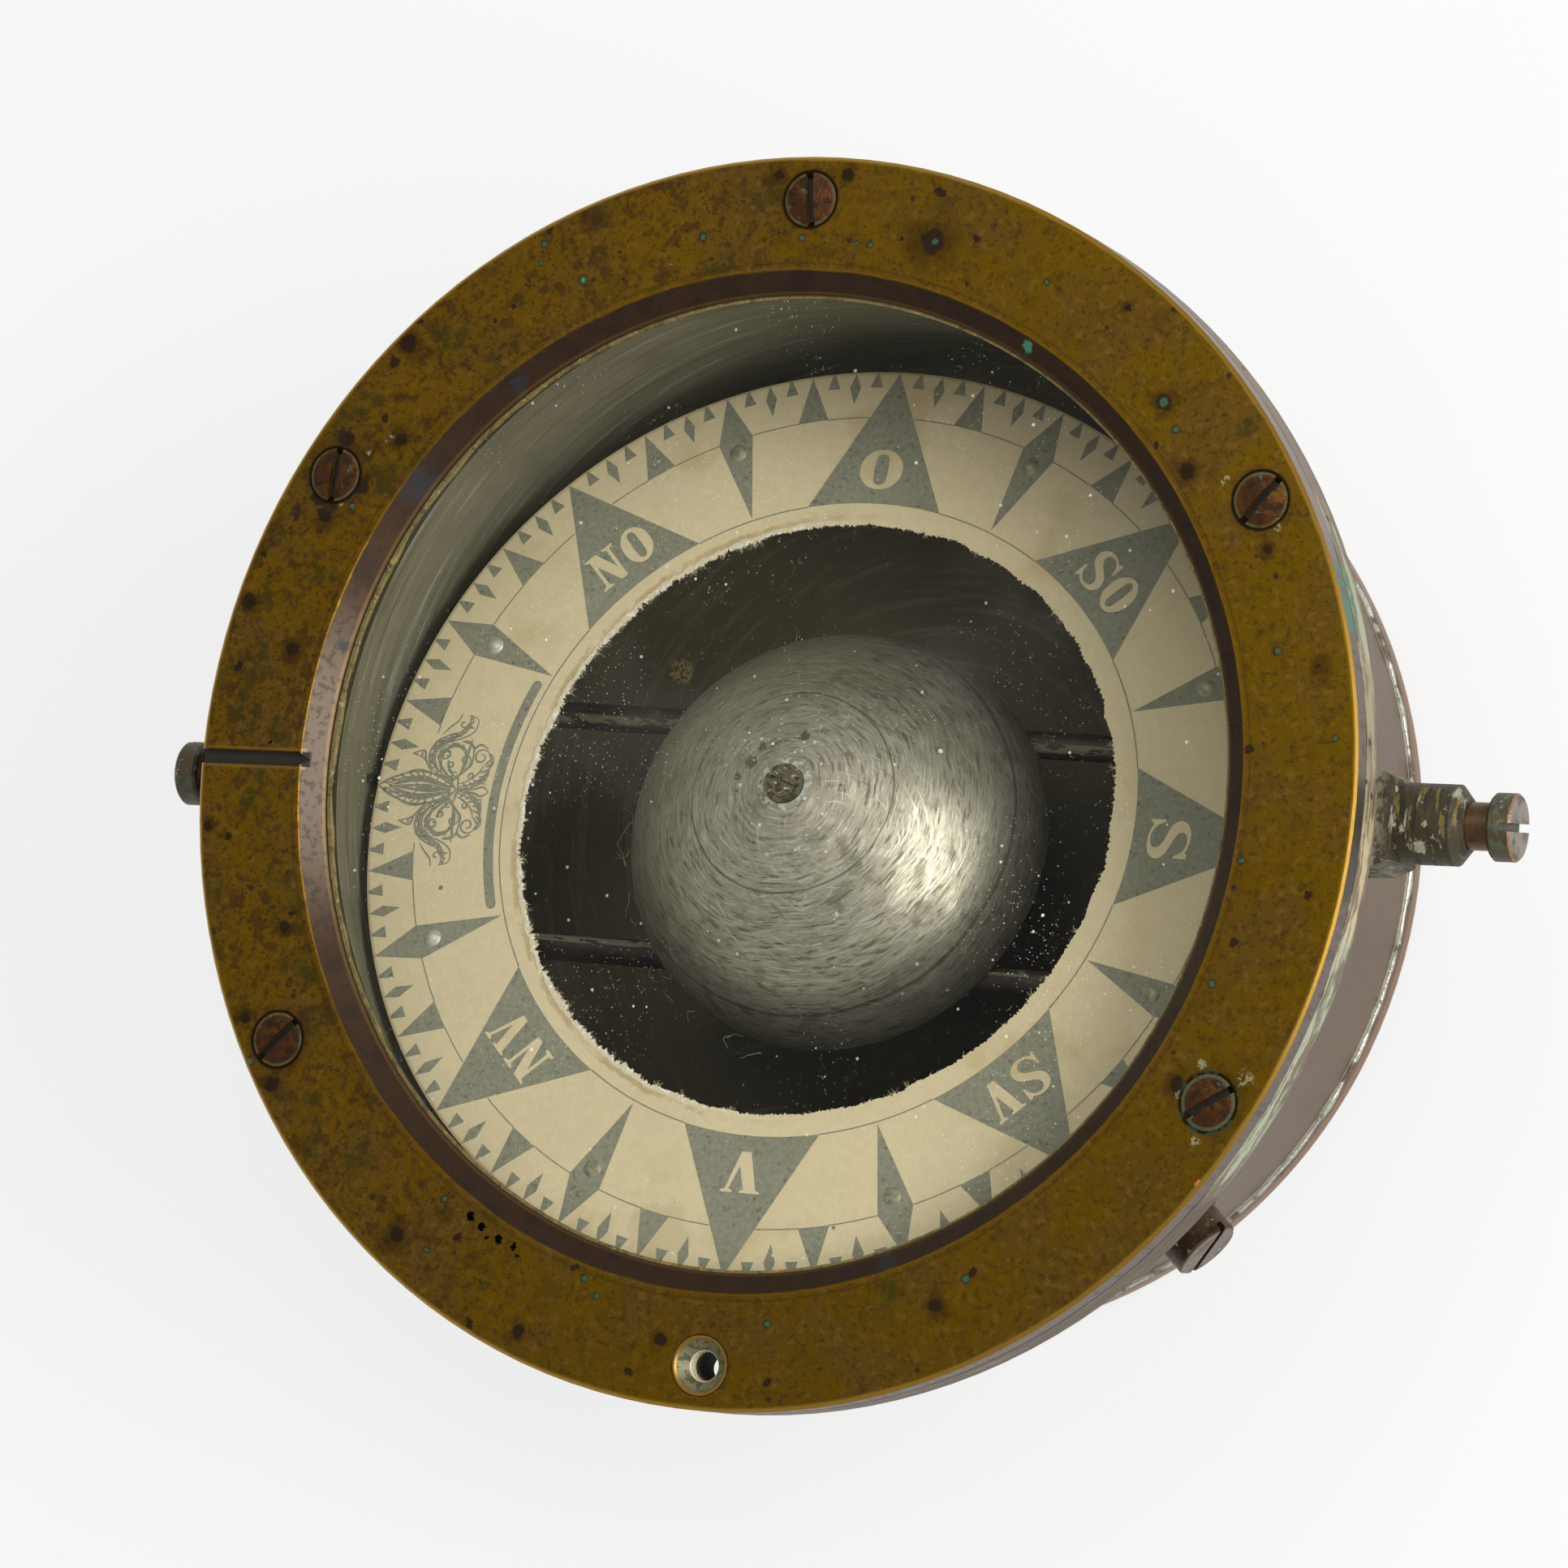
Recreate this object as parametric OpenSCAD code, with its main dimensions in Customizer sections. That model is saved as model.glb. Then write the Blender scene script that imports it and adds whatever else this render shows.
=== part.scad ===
// Marine liquid compass: gimballed brass bowl with a float, card and pivot.
// Millimetres. Z runs up the bowl's axis from the foot, X runs along the pivots.
// The lubber mark is at -X. The card lies tipped against the glass, as found.

/* [Overall] */
// Height from the foot to the top of the bezel
height = 83; // [70:0.5:110]
// Outer diameter of the paper card, a six-inch dial
card_d = 152.8; // [130:0.1:190]

/* [Bowl] */
// Gap between the card's edge and the bowl's wall
card_gap = 3; // [2.8:0.1:6]
// Thickness of the bowl's wall
wall_t = 2.1; // [1.4:0.1:4]
// Thickness of the bowl's floor
floor_t = 2.4; // [1.6:0.1:5]
// Width of the flange outside the wall
flange_w = 16.5; // [14:0.1:22]
// Thickness of the flange
flange_t = 5.5; // [4.5:0.1:8]
// Reach of the glass ledge inside the wall
ledge_w = 1.2; // [0.8:0.1:1.6]

/* [Bezel and glass] */
// Thickness of the bezel ring
bezel_t = 3.9; // [3.9:0.1:6]
// Width of the bezel's inner chamfer
chamfer_w = 3.4; // [2:0.1:6]
// Depth of the bezel's inner chamfer
chamfer_h = 3.2; // [1.5:0.1:3.2]
// Height of the straight land under the chamfer
lip_land = 0.5; // [0.3:0.1:0.6]
// Reach of the bezel's lip over the glass
lip_over = 3.9; // [3:0.1:8]
// Thickness of the cover glass
glass_t = 2.2; // [1.8:0.1:3.5]
// Width of the glass that rests on the ledge
glass_seat = 2.3; // [1.5:0.1:3]
// Thickness of the packing above and below the glass
packing_t = 0.4; // [0.3:0.1:1]
// Reach of the upper packing past the bezel's lip
packing_show = 0.5; // [0.2:0.1:1.5]
// Thickness of the gasket between bezel and flange
gasket_t = 0.4; // [0.3:0.1:1]
// Width of the lubber mark
mark_w = 2.4; // [1:0.1:4]
// Depth of the lubber mark
mark_h = 1.2; // [0.5:0.1:2]

/* [Bezel screws] */
// Distance of the screws from the bezel's outer edge
screw_edge = 6.9; // [5.5:0.1:8.5]
// Diameter of the tapped holes in the flange
tapped_d = 4; // [3:0.1:5]
// Diameter of the clearance holes in the bezel
clear_d = 4.7; // [4.4:0.1:5.6]
// Diameter of the screw heads
head_d = 8.7; // [6.5:0.1:9.5]
// Depth of the screw heads' cone
head_h = 1.9; // [1.2:0.1:2.6]
// Width of the screwdriver slots
slot_w = 1.2; // [0.5:0.1:1.4]
// Turn of the circle of screws about the bowl
screw_turn = -0.4; // [-5:0.1:5]

/* [Foot] */
// Height of the foot ring
foot_h = 7; // [6.5:0.1:10]
// Width of the foot ring
foot_w = 10; // [8:0.1:14]
// Radius of the foot ring's rounded edge
foot_round = 3.8; // [2:0.1:5]
// Reach of the foot ring outside the wall
foot_over = 0.5; // [0.2:0.1:1.5]
// Height of the solder fillet
solder_h = 1; // [0.4:0.1:2]
// Outer diameter of the expansion diaphragm
diaphragm_d = 87; // [70:1:96]
// Width of the diaphragm's clamping ring
clamp_w = 7; // [6:0.1:10]
// Thickness of the diaphragm
diaphragm_t = 0.4; // [0.3:0.1:0.6]
// Clearance of the lead ballast above the ground
ballast_lift = 1.2; // [0.5:0.1:2]

/* [Gimbal pivots] */
// Depth of the pivot axis below the bezel's top
pivot_drop = 26.6; // [22:0.1:34]
// Width of the saddles on the wall
saddle_w = 15.4; // [13:0.1:22]
// Height of the saddles on the wall
saddle_h = 19; // [14:0.1:24]
// Length of the saddles outside the wall
saddle_l = 15.5; // [10:0.1:18]
// Diameter of the pivot bosses
boss_d = 12.5; // [10.5:0.1:13]
// Length of the pivot bosses outside the wall
boss_l = 26; // [20:0.1:32]
// Diameter of the pivot journals
journal_d = 7.4; // [5:0.1:8]
// Free length of the pivot journals
journal_l = 3.8; // [3:0.1:12]
// Diameter of the pivot screws' heads
pivot_head_d = 10.5; // [9:0.1:14]
// Length of the pivot screws' heads
pivot_head_l = 3.8; // [2:0.1:6]

/* [Filler plug] */
// Angle of the filler plug round the bowl
plug_angle = -43.5; // [-60:0.5:-30]
// Depth of the plug's axis below the bezel's top
plug_drop = 26.6; // [22:0.1:34]
// Diameter of the filler boss
filler_d = 14.6; // [13:0.1:18]
// Length of the filler boss outside the wall
filler_l = 9.5; // [6:0.1:12]
// Diameter of the plug's head
plug_d = 10.7; // [9:0.1:12.5]
// Length of the plug's head
plug_l = 5.8; // [4:0.1:8]
// Diameter of the filler hole
filler_hole_d = 7; // [4:0.1:8]

/* [Pivot] */
// Depth of the pivot point below the bezel's top
point_drop = 12.5; // [12:0.1:16]
// Diameter of the pivot stem
stem_d = 6.4; // [4:0.1:9]
// Diameter of the hardened pivot point
point_d = 1.6; // [1:0.1:2]
// Diameter of the stem's base
stem_base_d = 22; // [18:0.5:30]
// Depth of the lubber line's top below the bezel's top
line_drop = 22; // [16:0.1:26]
// Length of the lubber line
line_l = 14; // [8:0.1:20]

/* [Float] */
// Diameter of the float at its widest
float_d = 69.2; // [60:0.1:86]
// Height of the float's dome
float_h = 28; // [25:0.1:32]
// Radius of the dome's side
float_side_r = 22; // [16:0.1:22.5]
// Thickness of the float's sheet
float_t = 0.8; // [0.5:0.1:1.2]
// Height of the dome's top above the pivot point
float_rise = 1.8; // [1.6:0.1:2.4]
// Diameter of the float's well at the bottom
well_d = 30; // [24:0.5:36]
// Diameter of the ring round the cap screw
cap_ring_d = 6.4; // [6:0.1:9]
// Diameter of the cap screw
cap_screw_d = 4.8; // [3.6:0.1:5]

/* [Card and needles] */
// Depth of the card's face below the pivot point
card_drop = 12.2; // [11:0.1:16]
// Inner diameter of the paper card
card_hole_d = 99; // [80:0.5:108]
// Thickness of the paper card
paper_t = 0.4; // [0.3:0.1:0.8]
// Thickness of the backing ring
backing_t = 0.5; // [0.4:0.1:1]
// Radius of the circle of rivets
rivet_r = 66; // [58:0.1:70]
// Diameter of the rivet heads
rivet_d = 3; // [2.4:0.1:4]
// Distance of each needle tube from the axis
tube_y = 20; // [17:0.1:24]
// Diameter of the needle tubes
tube_d = 4.4; // [3.6:0.1:6]
// Gap between the float's base and the needle tubes
tube_gap = 0.4; // [0.2:0.1:1.5]
// How far the card has tipped: 0 is level, 1 is up to its gap under the glass
card_slump = 1; // [0:0.1:1]
// Gap between the tipped card's high edge and the glass
card_glass_gap = 0.5; // [0.3:0.1:2]
// Direction in which the card's axis leans
card_lean = 79; // [0:1:359]
// Turn of the card about its own axis
card_turn = -0.9; // [-180:0.1:180]

/* [Hidden] */

$fn = 96;
fit = 0.05;        // clearance between pieces fixed to each other
cut = 1;           // overshoot of every cutting solid
break_edge = 0.4;  // broken edges of the turned pieces

// Heights, from the glass down to the floor
lip_z = height - chamfer_h - lip_land;
bezel_z = height - bezel_t;
flange_top_z = bezel_z - gasket_t;
flange_z = flange_top_z - flange_t;
glass_top_z = lip_z - packing_t;
glass_z = glass_top_z - glass_t;
ledge_z = glass_z - packing_t;
floor_top_z = foot_h + floor_t;
point_z = height - point_drop;
pivot_z = height - pivot_drop;
plug_z = height - plug_drop;

// Radii, from the card out to the rim
card_r = card_d / 2;
bowl_r = card_r + card_gap;
wall_r = bowl_r + wall_t;
rim_r = wall_r + flange_w;
ledge_r = bowl_r - ledge_w;
glass_r = ledge_r + glass_seat;
lip_r = glass_r - lip_over;
flat_r = lip_r + chamfer_w;
screw_r = rim_r - screw_edge;

// Bezel screws: place round the ring and direction of the slot; one is missing
hole_places = [for (a = [30 : 60 : 330]) a + screw_turn];
screw_places = [[30, 51], [90, 97], [150, 84], [210, 46], [330, 32]];
head_crown = 0.35;
head_rim = head_d / 2 - fit;
crown_r = (pow(head_rim, 2) + pow(head_crown, 2)) / (2 * head_crown);
slot_h = 1.1;
mark_tip = 1.3;    // reach of the lubber mark's tip into the chamfer

// Foot and expansion diaphragm
foot_r = wall_r + foot_over;
foot_in_r = foot_r - foot_w;
diaphragm_r = diaphragm_d / 2;
clamp_r = diaphragm_r - clamp_w / 2;
land_h = 1.4;
clamp_t = 1.6;
diaphragm_z = foot_h - land_h - diaphragm_t;
clamp_z = diaphragm_z - clamp_t;
ballast_gap = 1.5;
ballast_in_r = diaphragm_r + ballast_gap;
ballast_out_r = foot_in_r - 0.3;
ballast_screw_r = (ballast_in_r + ballast_out_r) / 2;
small_screw_d = 2;
small_head_d = 3.6;
small_head_h = 0.9;

// Gimbal pivots, along X
cone_l = 1.8;
boss_x = wall_r + boss_l;
cone_x = boss_x - cone_l;
saddle_x = wall_r + saddle_l;
shoulder_l = 3;
journal_in_x = wall_r + 3;
head_x = boss_x + journal_l;
pivot_end_x = head_x + pivot_head_l;
pivot_slot_w = 1.3;
pivot_slot_h = 1.7;

// Filler, along its own radius
filler_x = wall_r + filler_l;
washer_t = 0.6;
plug_x = filler_x + washer_t;
plug_end_x = plug_x + plug_l;
plug_slot_w = 1.2;
plug_slot_h = 1.5;

// Pivot stem
stem_flange_h = 3;
stem_screw_r = stem_base_d / 2 - 3;
point_l = 8;
point_cone_l = 2.1;
neck_d = 2.8;
neck_l = 12;
taper_l = 14;

// Float, measured from the pivot point along the card's axis
float_r = float_d / 2;
float_base_z = float_rise - float_h;
float_crown_r = (pow(float_r - float_side_r, 2) + pow(float_h, 2) - pow(float_side_r, 2))
                / (2 * (float_h - float_side_r));
jewel_d = 4.8;
jewel_top = float_rise - float_t - 0.25;
jewel_end_gap = 0.3;
jewel_bottom = -2.4;
jewel_run = 0.1;
collar_t = 0.8;
collar_bottom = jewel_bottom - 0.2;
cap_ring_h = 1.3;
cap_screw_h = 1.4;

// Tip of the card about the pivot point
card_reach = norm([card_r, card_drop]);
card_limit = asin((glass_z - card_glass_gap - point_z) / card_reach) + atan(card_drop / card_r);
card_tilt = card_slump * card_limit;

// Card and needles, measured from the pivot point along the card's axis
paper_z = -card_drop - paper_t;
backing_z = paper_z - backing_t;
backing_in_r = card_hole_d / 2 + 2.5;
backing_out_r = card_r - 1;
rivet_step = 22.5;
rivet_shank_d = 1.6;
rivet_head_h = 0.6;
rivet_tail_h = 0.35;
rivet_dome_r = (pow(rivet_d / 2, 2) + pow(rivet_head_h, 2)) / (2 * rivet_head_h);
tab_t = 0.7;
tube_z = float_base_z - tube_gap - tube_d / 2;
tube_wall = 0.45;
hanger_x = rivet_r * cos(rivet_step);
hanger_y = rivet_r * sin(rivet_step);
hanger_w = 4;
hanger_t = 0.8;
tube_half_l = hanger_x + hanger_w / 2 + 0.8;
magnet_short = 8;
saddle_place = 18;

// Ring of rectangular section
module ring(r_in, r_out, z0, z1) {
    rotate_extrude()
        translate([r_in, z0]) square([r_out - r_in, z1 - z0]);
}

// Things that stand out from the wall, turned to their place round the bowl
module radial(angle, z) {
    rotate([0, 0, angle]) translate([0, 0, z]) rotate([0, 90, 0]) children();
}

// Everything that tips and turns with the card
module with_card() {
    translate([0, 0, point_z])
        rotate(a = card_tilt, v = [-sin(card_lean), cos(card_lean), 0])
            rotate([0, 0, card_turn]) children();
}

// Slotted screw with a flat head below and its shank upwards
module underside_screw(z_head, z_tip, slot_angle) {
    difference() {
        union() {
            translate([0, 0, z_head])
                cylinder(h = small_head_h, d1 = small_head_d - break_edge, d2 = small_head_d);
            translate([0, 0, z_head])
                cylinder(h = z_tip - z_head, d = small_screw_d - 2 * fit);
        }
        rotate([0, 0, slot_angle])
            translate([-small_head_d, -slot_w / 3, z_head - cut])
                cube([2 * small_head_d, slot_w * 2 / 3, cut + small_head_h / 2]);
    }
}

module bezel_ring() {
    color([0.50, 0.38, 0.12])
    difference() {
        rotate_extrude()
            polygon([[lip_r, lip_z], [lip_r, height - chamfer_h], [flat_r, height],
                     [rim_r - break_edge, height], [rim_r, height - break_edge],
                     [rim_r, bezel_z], [glass_r + fit, bezel_z], [glass_r + fit, lip_z]]);
        for (a = hole_places) rotate([0, 0, a]) translate([screw_r, 0, 0]) {
            translate([0, 0, bezel_z - cut]) cylinder(h = bezel_t + 2 * cut, d = clear_d);
            translate([0, 0, height - head_h])
                cylinder(h = head_h, d1 = clear_d, d2 = head_d + 2 * fit);
            translate([0, 0, height - fit]) cylinder(h = cut, d = head_d + 2 * fit);
        }
        translate([0, 0, height - mark_h]) linear_extrude(mark_h + cut)
            polygon([[-rim_r - cut, -mark_w / 2], [-flat_r - break_edge, -mark_w / 2],
                     [mark_tip - flat_r, 0], [-flat_r - break_edge, mark_w / 2],
                     [-rim_r - cut, mark_w / 2]]);
    }
}

module bezel_screws() {
    color([0.42, 0.26, 0.20])
    for (s = screw_places) rotate([0, 0, s[0] + screw_turn]) translate([screw_r, 0, 0]) difference() {
        union() {
            translate([0, 0, height - head_h])
                cylinder(h = head_h, d1 = clear_d - 2 * fit, d2 = 2 * head_rim);
            rotate_extrude() intersection() {
                translate([0, height + head_crown - crown_r]) circle(r = crown_r);
                translate([0, height]) square([head_rim, head_crown]);
            }
            translate([0, 0, flange_z + fit])
                cylinder(h = height - flange_z - head_h / 2, d = tapped_d - 2 * fit);
        }
        rotate([0, 0, s[1] - s[0] - screw_turn])
            translate([-head_d, -slot_w / 2, height + head_crown - slot_h])
                cube([2 * head_d, slot_w, slot_h + cut]);
    }
}

module bezel_gasket() {
    color([0.15, 0.13, 0.11])
    difference() {
        ring(glass_r + 3 * fit, rim_r - 1, flange_top_z, bezel_z);
        for (a = hole_places) rotate([0, 0, a])
            translate([screw_r, 0, flange_top_z - cut])
                cylinder(h = gasket_t + 2 * cut, d = clear_d);
    }
}

module cover_glass() {
    color([0.80, 0.88, 0.86, 0.35])
    translate([0, 0, glass_z]) cylinder(h = glass_t, r = glass_r - fit);
}

module upper_packing() {
    color([0.50, 0.46, 0.22])
    ring(lip_r - packing_show, glass_r - fit, glass_top_z, lip_z);
}

module lower_packing() {
    color([0.20, 0.18, 0.15])
    ring(ledge_r, glass_r - fit, ledge_z, glass_z);
}

module bowl_flange() {
    color([0.58, 0.47, 0.38])
    difference() {
        rotate_extrude()
            polygon([[ledge_r, flange_z], [rim_r, flange_z], [rim_r, flange_top_z],
                     [glass_r + fit, flange_top_z], [glass_r + fit, ledge_z],
                     [ledge_r, ledge_z]]);
        for (a = hole_places) rotate([0, 0, a])
            translate([screw_r, 0, flange_z - cut])
                cylinder(h = flange_t + 2 * cut, d = tapped_d);
    }
}

module bowl_wall() {
    color([0.40, 0.34, 0.30])
    difference() {
        ring(bowl_r, wall_r, foot_h, flange_z);
        radial(plug_angle, plug_z)
            translate([0, 0, bowl_r - cut]) cylinder(h = wall_t + 2 * cut, d = filler_hole_d);
    }
}

module bowl_floor() {
    color([0.30, 0.29, 0.26])
    difference() {
        union() {
            translate([0, 0, foot_h]) cylinder(h = floor_t, r = bowl_r - fit);
            ring(diaphragm_r - clamp_w, diaphragm_r, foot_h - land_h, foot_h + fit);
        }
        // Passages to the expansion chamber
        for (a = [45 : 90 : 315]) rotate([0, 0, a])
            translate([stem_base_d, 0, foot_h - cut]) cylinder(h = floor_t + 2 * cut, d = 5);
        for (a = [90 : 120 : 330]) rotate([0, 0, a])
            translate([stem_screw_r, 0, foot_h - cut])
                cylinder(h = floor_t + 2 * cut, d = small_screw_d);
        for (a = [0 : 45 : 315]) rotate([0, 0, a])
            translate([clamp_r, 0, foot_h - land_h - cut])
                cylinder(h = land_h + cut + floor_t / 2, d = small_screw_d);
        for (a = [45 : 90 : 315]) rotate([0, 0, a])
            translate([ballast_screw_r, 0, foot_h - cut])
                cylinder(h = cut + floor_t / 2, d = small_screw_d);
    }
}

module solder_seam() {
    color([0.75, 0.76, 0.72])
    rotate_extrude()
        polygon([[wall_r + fit, foot_h], [foot_r, foot_h], [wall_r + fit, foot_h + solder_h]]);
}

module foot_ring() {
    color([0.38, 0.27, 0.18])
    rotate_extrude() union() {
        intersection() {
            translate([foot_r - foot_round, foot_round]) circle(r = foot_round);
            translate([foot_in_r, 0]) square([foot_w, foot_h]);
        }
        translate([foot_r - foot_round, foot_round]) square([foot_round, foot_h - foot_round]);
        translate([foot_in_r, 0]) square([foot_w - foot_round, foot_h]);
    }
}

module ballast_ring() {
    color([0.35, 0.36, 0.38])
    difference() {
        ring(ballast_in_r, ballast_out_r, ballast_lift, foot_h - fit);
        for (a = [45 : 90 : 315]) rotate([0, 0, a])
            translate([ballast_screw_r, 0, ballast_lift - cut]) {
                cylinder(h = foot_h, d = small_screw_d);
                cylinder(h = cut + small_head_h, d = small_head_d + 2 * fit);
            }
    }
}

module ballast_screws() {
    color([0.42, 0.30, 0.18])
    for (a = [45 : 90 : 315]) rotate([0, 0, a]) translate([ballast_screw_r, 0, 0])
        underside_screw(ballast_lift, foot_h + floor_t / 2 - fit, 25);
}

module diaphragm() {
    // Three rings of corrugation between a flat centre and the clamped edge
    centre_r = 9;
    folds = 3;
    fold_w = (diaphragm_r - clamp_w - 2 - centre_r) / folds;
    dip = 1;
    wave = [for (i = [0 : folds - 1]) each
            [[centre_r + i * fold_w, 0], [centre_r + (i + 0.25) * fold_w, -dip],
             [centre_r + (i + 0.5) * fold_w, -dip], [centre_r + (i + 0.75) * fold_w, 0]]];
    top = concat([[0, 0]], wave, [[diaphragm_r, 0]]);
    low = [for (i = [len(top) - 1 : -1 : 0]) [top[i][0], top[i][1] - diaphragm_t]];
    color([0.66, 0.50, 0.24])
    difference() {
        translate([0, 0, diaphragm_z + diaphragm_t])
            rotate_extrude() polygon(concat(top, low));
        for (a = [0 : 45 : 315]) rotate([0, 0, a])
            translate([clamp_r, 0, diaphragm_z - cut])
                cylinder(h = diaphragm_t + 2 * cut, d = small_screw_d);
    }
}

module diaphragm_ring() {
    color([0.48, 0.36, 0.16])
    difference() {
        ring(diaphragm_r - clamp_w, diaphragm_r, clamp_z, diaphragm_z);
        for (a = [0 : 45 : 315]) rotate([0, 0, a])
            translate([clamp_r, 0, clamp_z - cut])
                cylinder(h = clamp_t + 2 * cut, d = small_screw_d);
    }
}

module diaphragm_screws() {
    color([0.42, 0.30, 0.18])
    for (a = [0 : 45 : 315]) rotate([0, 0, a]) translate([clamp_r, 0, 0])
        underside_screw(clamp_z - small_head_h, foot_h + floor_t / 2 - fit, 70);
}

// Saddle and boss that carry one pivot, drawn along +X
module pivot_boss() {
    difference() {
        union() {
            intersection() {
                translate([0, 0, -saddle_h / 2]) linear_extrude(saddle_h)
                    polygon([[bowl_r, -saddle_w / 2], [saddle_x - shoulder_l, -saddle_w / 2],
                             [saddle_x, -boss_d / 2], [saddle_x, boss_d / 2],
                             [saddle_x - shoulder_l, saddle_w / 2], [bowl_r, saddle_w / 2]]);
                rotate([90, 0, 0]) translate([0, 0, -saddle_w / 2]) linear_extrude(saddle_w)
                    polygon([[bowl_r, -saddle_h / 2], [wall_r + 4, -saddle_h / 2],
                             [saddle_x, -boss_d / 2], [saddle_x, boss_d / 2],
                             [wall_r + 4, saddle_h / 2], [bowl_r, saddle_h / 2]]);
            }
            rotate([0, 90, 0]) {
                translate([0, 0, wall_r]) cylinder(h = cone_x - wall_r, d = boss_d);
                translate([0, 0, cone_x])
                    cylinder(h = cone_l, d1 = boss_d, d2 = journal_d + 0.8);
            }
        }
        translate([0, 0, -saddle_h]) cylinder(h = 2 * saddle_h, r = wall_r + fit);
        rotate([0, 90, 0]) translate([0, 0, journal_in_x])
            cylinder(h = boss_l + cut, d = journal_d + 2 * fit);
    }
}

module fore_boss() {
    color([0.30, 0.27, 0.18])
    translate([0, 0, pivot_z]) rotate([0, 0, 180]) pivot_boss();
}

module aft_boss() {
    color([0.32, 0.30, 0.20])
    translate([0, 0, pivot_z]) pivot_boss();
}

// Pivot screw with its journal and slotted head, drawn along +X
module pivot_screw(slot_angle) {
    rotate([0, 90, 0]) difference() {
        union() {
            translate([0, 0, journal_in_x + 0.5])
                cylinder(h = head_x - journal_in_x, d = journal_d);
            translate([0, 0, head_x]) rotate_extrude()
                polygon([[0, 0], [pivot_head_d / 2 - break_edge, 0],
                         [pivot_head_d / 2, break_edge],
                         [pivot_head_d / 2, pivot_head_l - break_edge],
                         [pivot_head_d / 2 - break_edge, pivot_head_l], [0, pivot_head_l]]);
        }
        rotate([0, 0, slot_angle])
            translate([-pivot_head_d, -pivot_slot_w / 2, pivot_end_x - pivot_slot_h])
                cube([2 * pivot_head_d, pivot_slot_w, pivot_slot_h + cut]);
    }
}

module fore_pivot() {
    color([0.26, 0.20, 0.15])
    translate([0, 0, pivot_z]) rotate([0, 0, 180]) pivot_screw(80);
}

module aft_pivot() {
    color([0.42, 0.36, 0.28])
    translate([0, 0, pivot_z]) pivot_screw(6);
}

module filler_boss() {
    color([0.38, 0.30, 0.20])
    difference() {
        radial(plug_angle, plug_z)
            translate([0, 0, bowl_r]) cylinder(h = filler_x - bowl_r, d = filler_d);
        cylinder(h = height, r = wall_r + fit);
        radial(plug_angle, plug_z)
            translate([0, 0, bowl_r - cut]) cylinder(h = filler_x, d = filler_hole_d);
    }
}

module plug_washer() {
    color([0.30, 0.20, 0.12])
    radial(plug_angle, plug_z) translate([0, 0, filler_x]) difference() {
        cylinder(h = washer_t, d = plug_d + 1.2);
        translate([0, 0, -cut]) cylinder(h = washer_t + 2 * cut, d = filler_hole_d);
    }
}

module filler_plug() {
    color([0.36, 0.27, 0.22])
    radial(plug_angle, plug_z) difference() {
        union() {
            translate([0, 0, bowl_r + 1])
                cylinder(h = plug_x - bowl_r, d = filler_hole_d - 2 * fit);
            translate([0, 0, plug_x]) rotate_extrude()
                polygon([[0, 0], [plug_d / 2, 0], [plug_d / 2, plug_l - break_edge],
                         [plug_d / 2 - break_edge, plug_l], [0, plug_l]]);
        }
        rotate([0, 0, 118])
            translate([-plug_d, -plug_slot_w / 2, plug_end_x - plug_slot_h])
                cube([2 * plug_d, plug_slot_w, plug_slot_h + cut]);
    }
}

module lubber_line() {
    color([0.20, 0.19, 0.15])
    intersection() {
        ring(bowl_r - 0.7, bowl_r - fit, height - line_drop - line_l, height - line_drop);
        translate([-wall_r, -0.6, 0]) cube([wall_r, 1.2, height]);
    }
}

module stem_base() {
    color([0.50, 0.38, 0.16])
    difference() {
        union() {
            translate([0, 0, floor_top_z]) cylinder(h = stem_flange_h, d = stem_base_d);
            translate([0, 0, floor_top_z + stem_flange_h])
                cylinder(h = stem_flange_h, d1 = stem_d + 4, d2 = stem_d + 2);
        }
        translate([0, 0, floor_top_z + 1]) cylinder(h = 3 * stem_flange_h, d = stem_d + 2 * fit);
        for (a = [90 : 120 : 330]) rotate([0, 0, a])
            translate([stem_screw_r, 0, floor_top_z - cut])
                cylinder(h = stem_flange_h + 2 * cut, d = small_screw_d);
    }
}

module stem_screws() {
    color([0.45, 0.33, 0.18])
    for (a = [90 : 120 : 330]) rotate([0, 0, a]) translate([stem_screw_r, 0, 0])
        translate([0, 0, floor_top_z + stem_flange_h + small_head_h]) mirror([0, 0, 1])
            underside_screw(0, small_head_h + stem_flange_h + floor_t - fit, 15);
}

module pivot_stem() {
    stem_z = floor_top_z + 1 + fit;
    taper_z = point_z - point_l - neck_l + 4 - taper_l;
    color([0.55, 0.42, 0.18])
    difference() {
        union() {
            translate([0, 0, stem_z]) cylinder(h = taper_z - stem_z, d = stem_d);
            translate([0, 0, taper_z]) cylinder(h = taper_l, d1 = stem_d, d2 = neck_d);
            translate([0, 0, taper_z + taper_l]) cylinder(h = neck_l, d = neck_d);
        }
        translate([0, 0, point_z - point_l]) cylinder(h = point_l, d = point_d + 2 * fit);
    }
}

module pivot_point() {
    color([0.70, 0.70, 0.72])
    translate([0, 0, point_z - point_l + fit]) {
        cylinder(h = point_l - point_cone_l - 0.2, d = point_d);
        translate([0, 0, point_l - point_cone_l - 0.2])
            cylinder(h = point_cone_l, d1 = point_d, d2 = 0.2);
    }
}

module jewel_cup() {
    color([0.55, 0.20, 0.25])
    with_card() difference() {
        translate([0, 0, jewel_bottom]) cylinder(h = jewel_top - jewel_bottom, d = jewel_d);
        translate([0, 0, jewel_bottom - fit])
            cylinder(h = 0.15 - jewel_bottom, d1 = jewel_d - 1, d2 = 0.3);
    }
}

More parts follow.
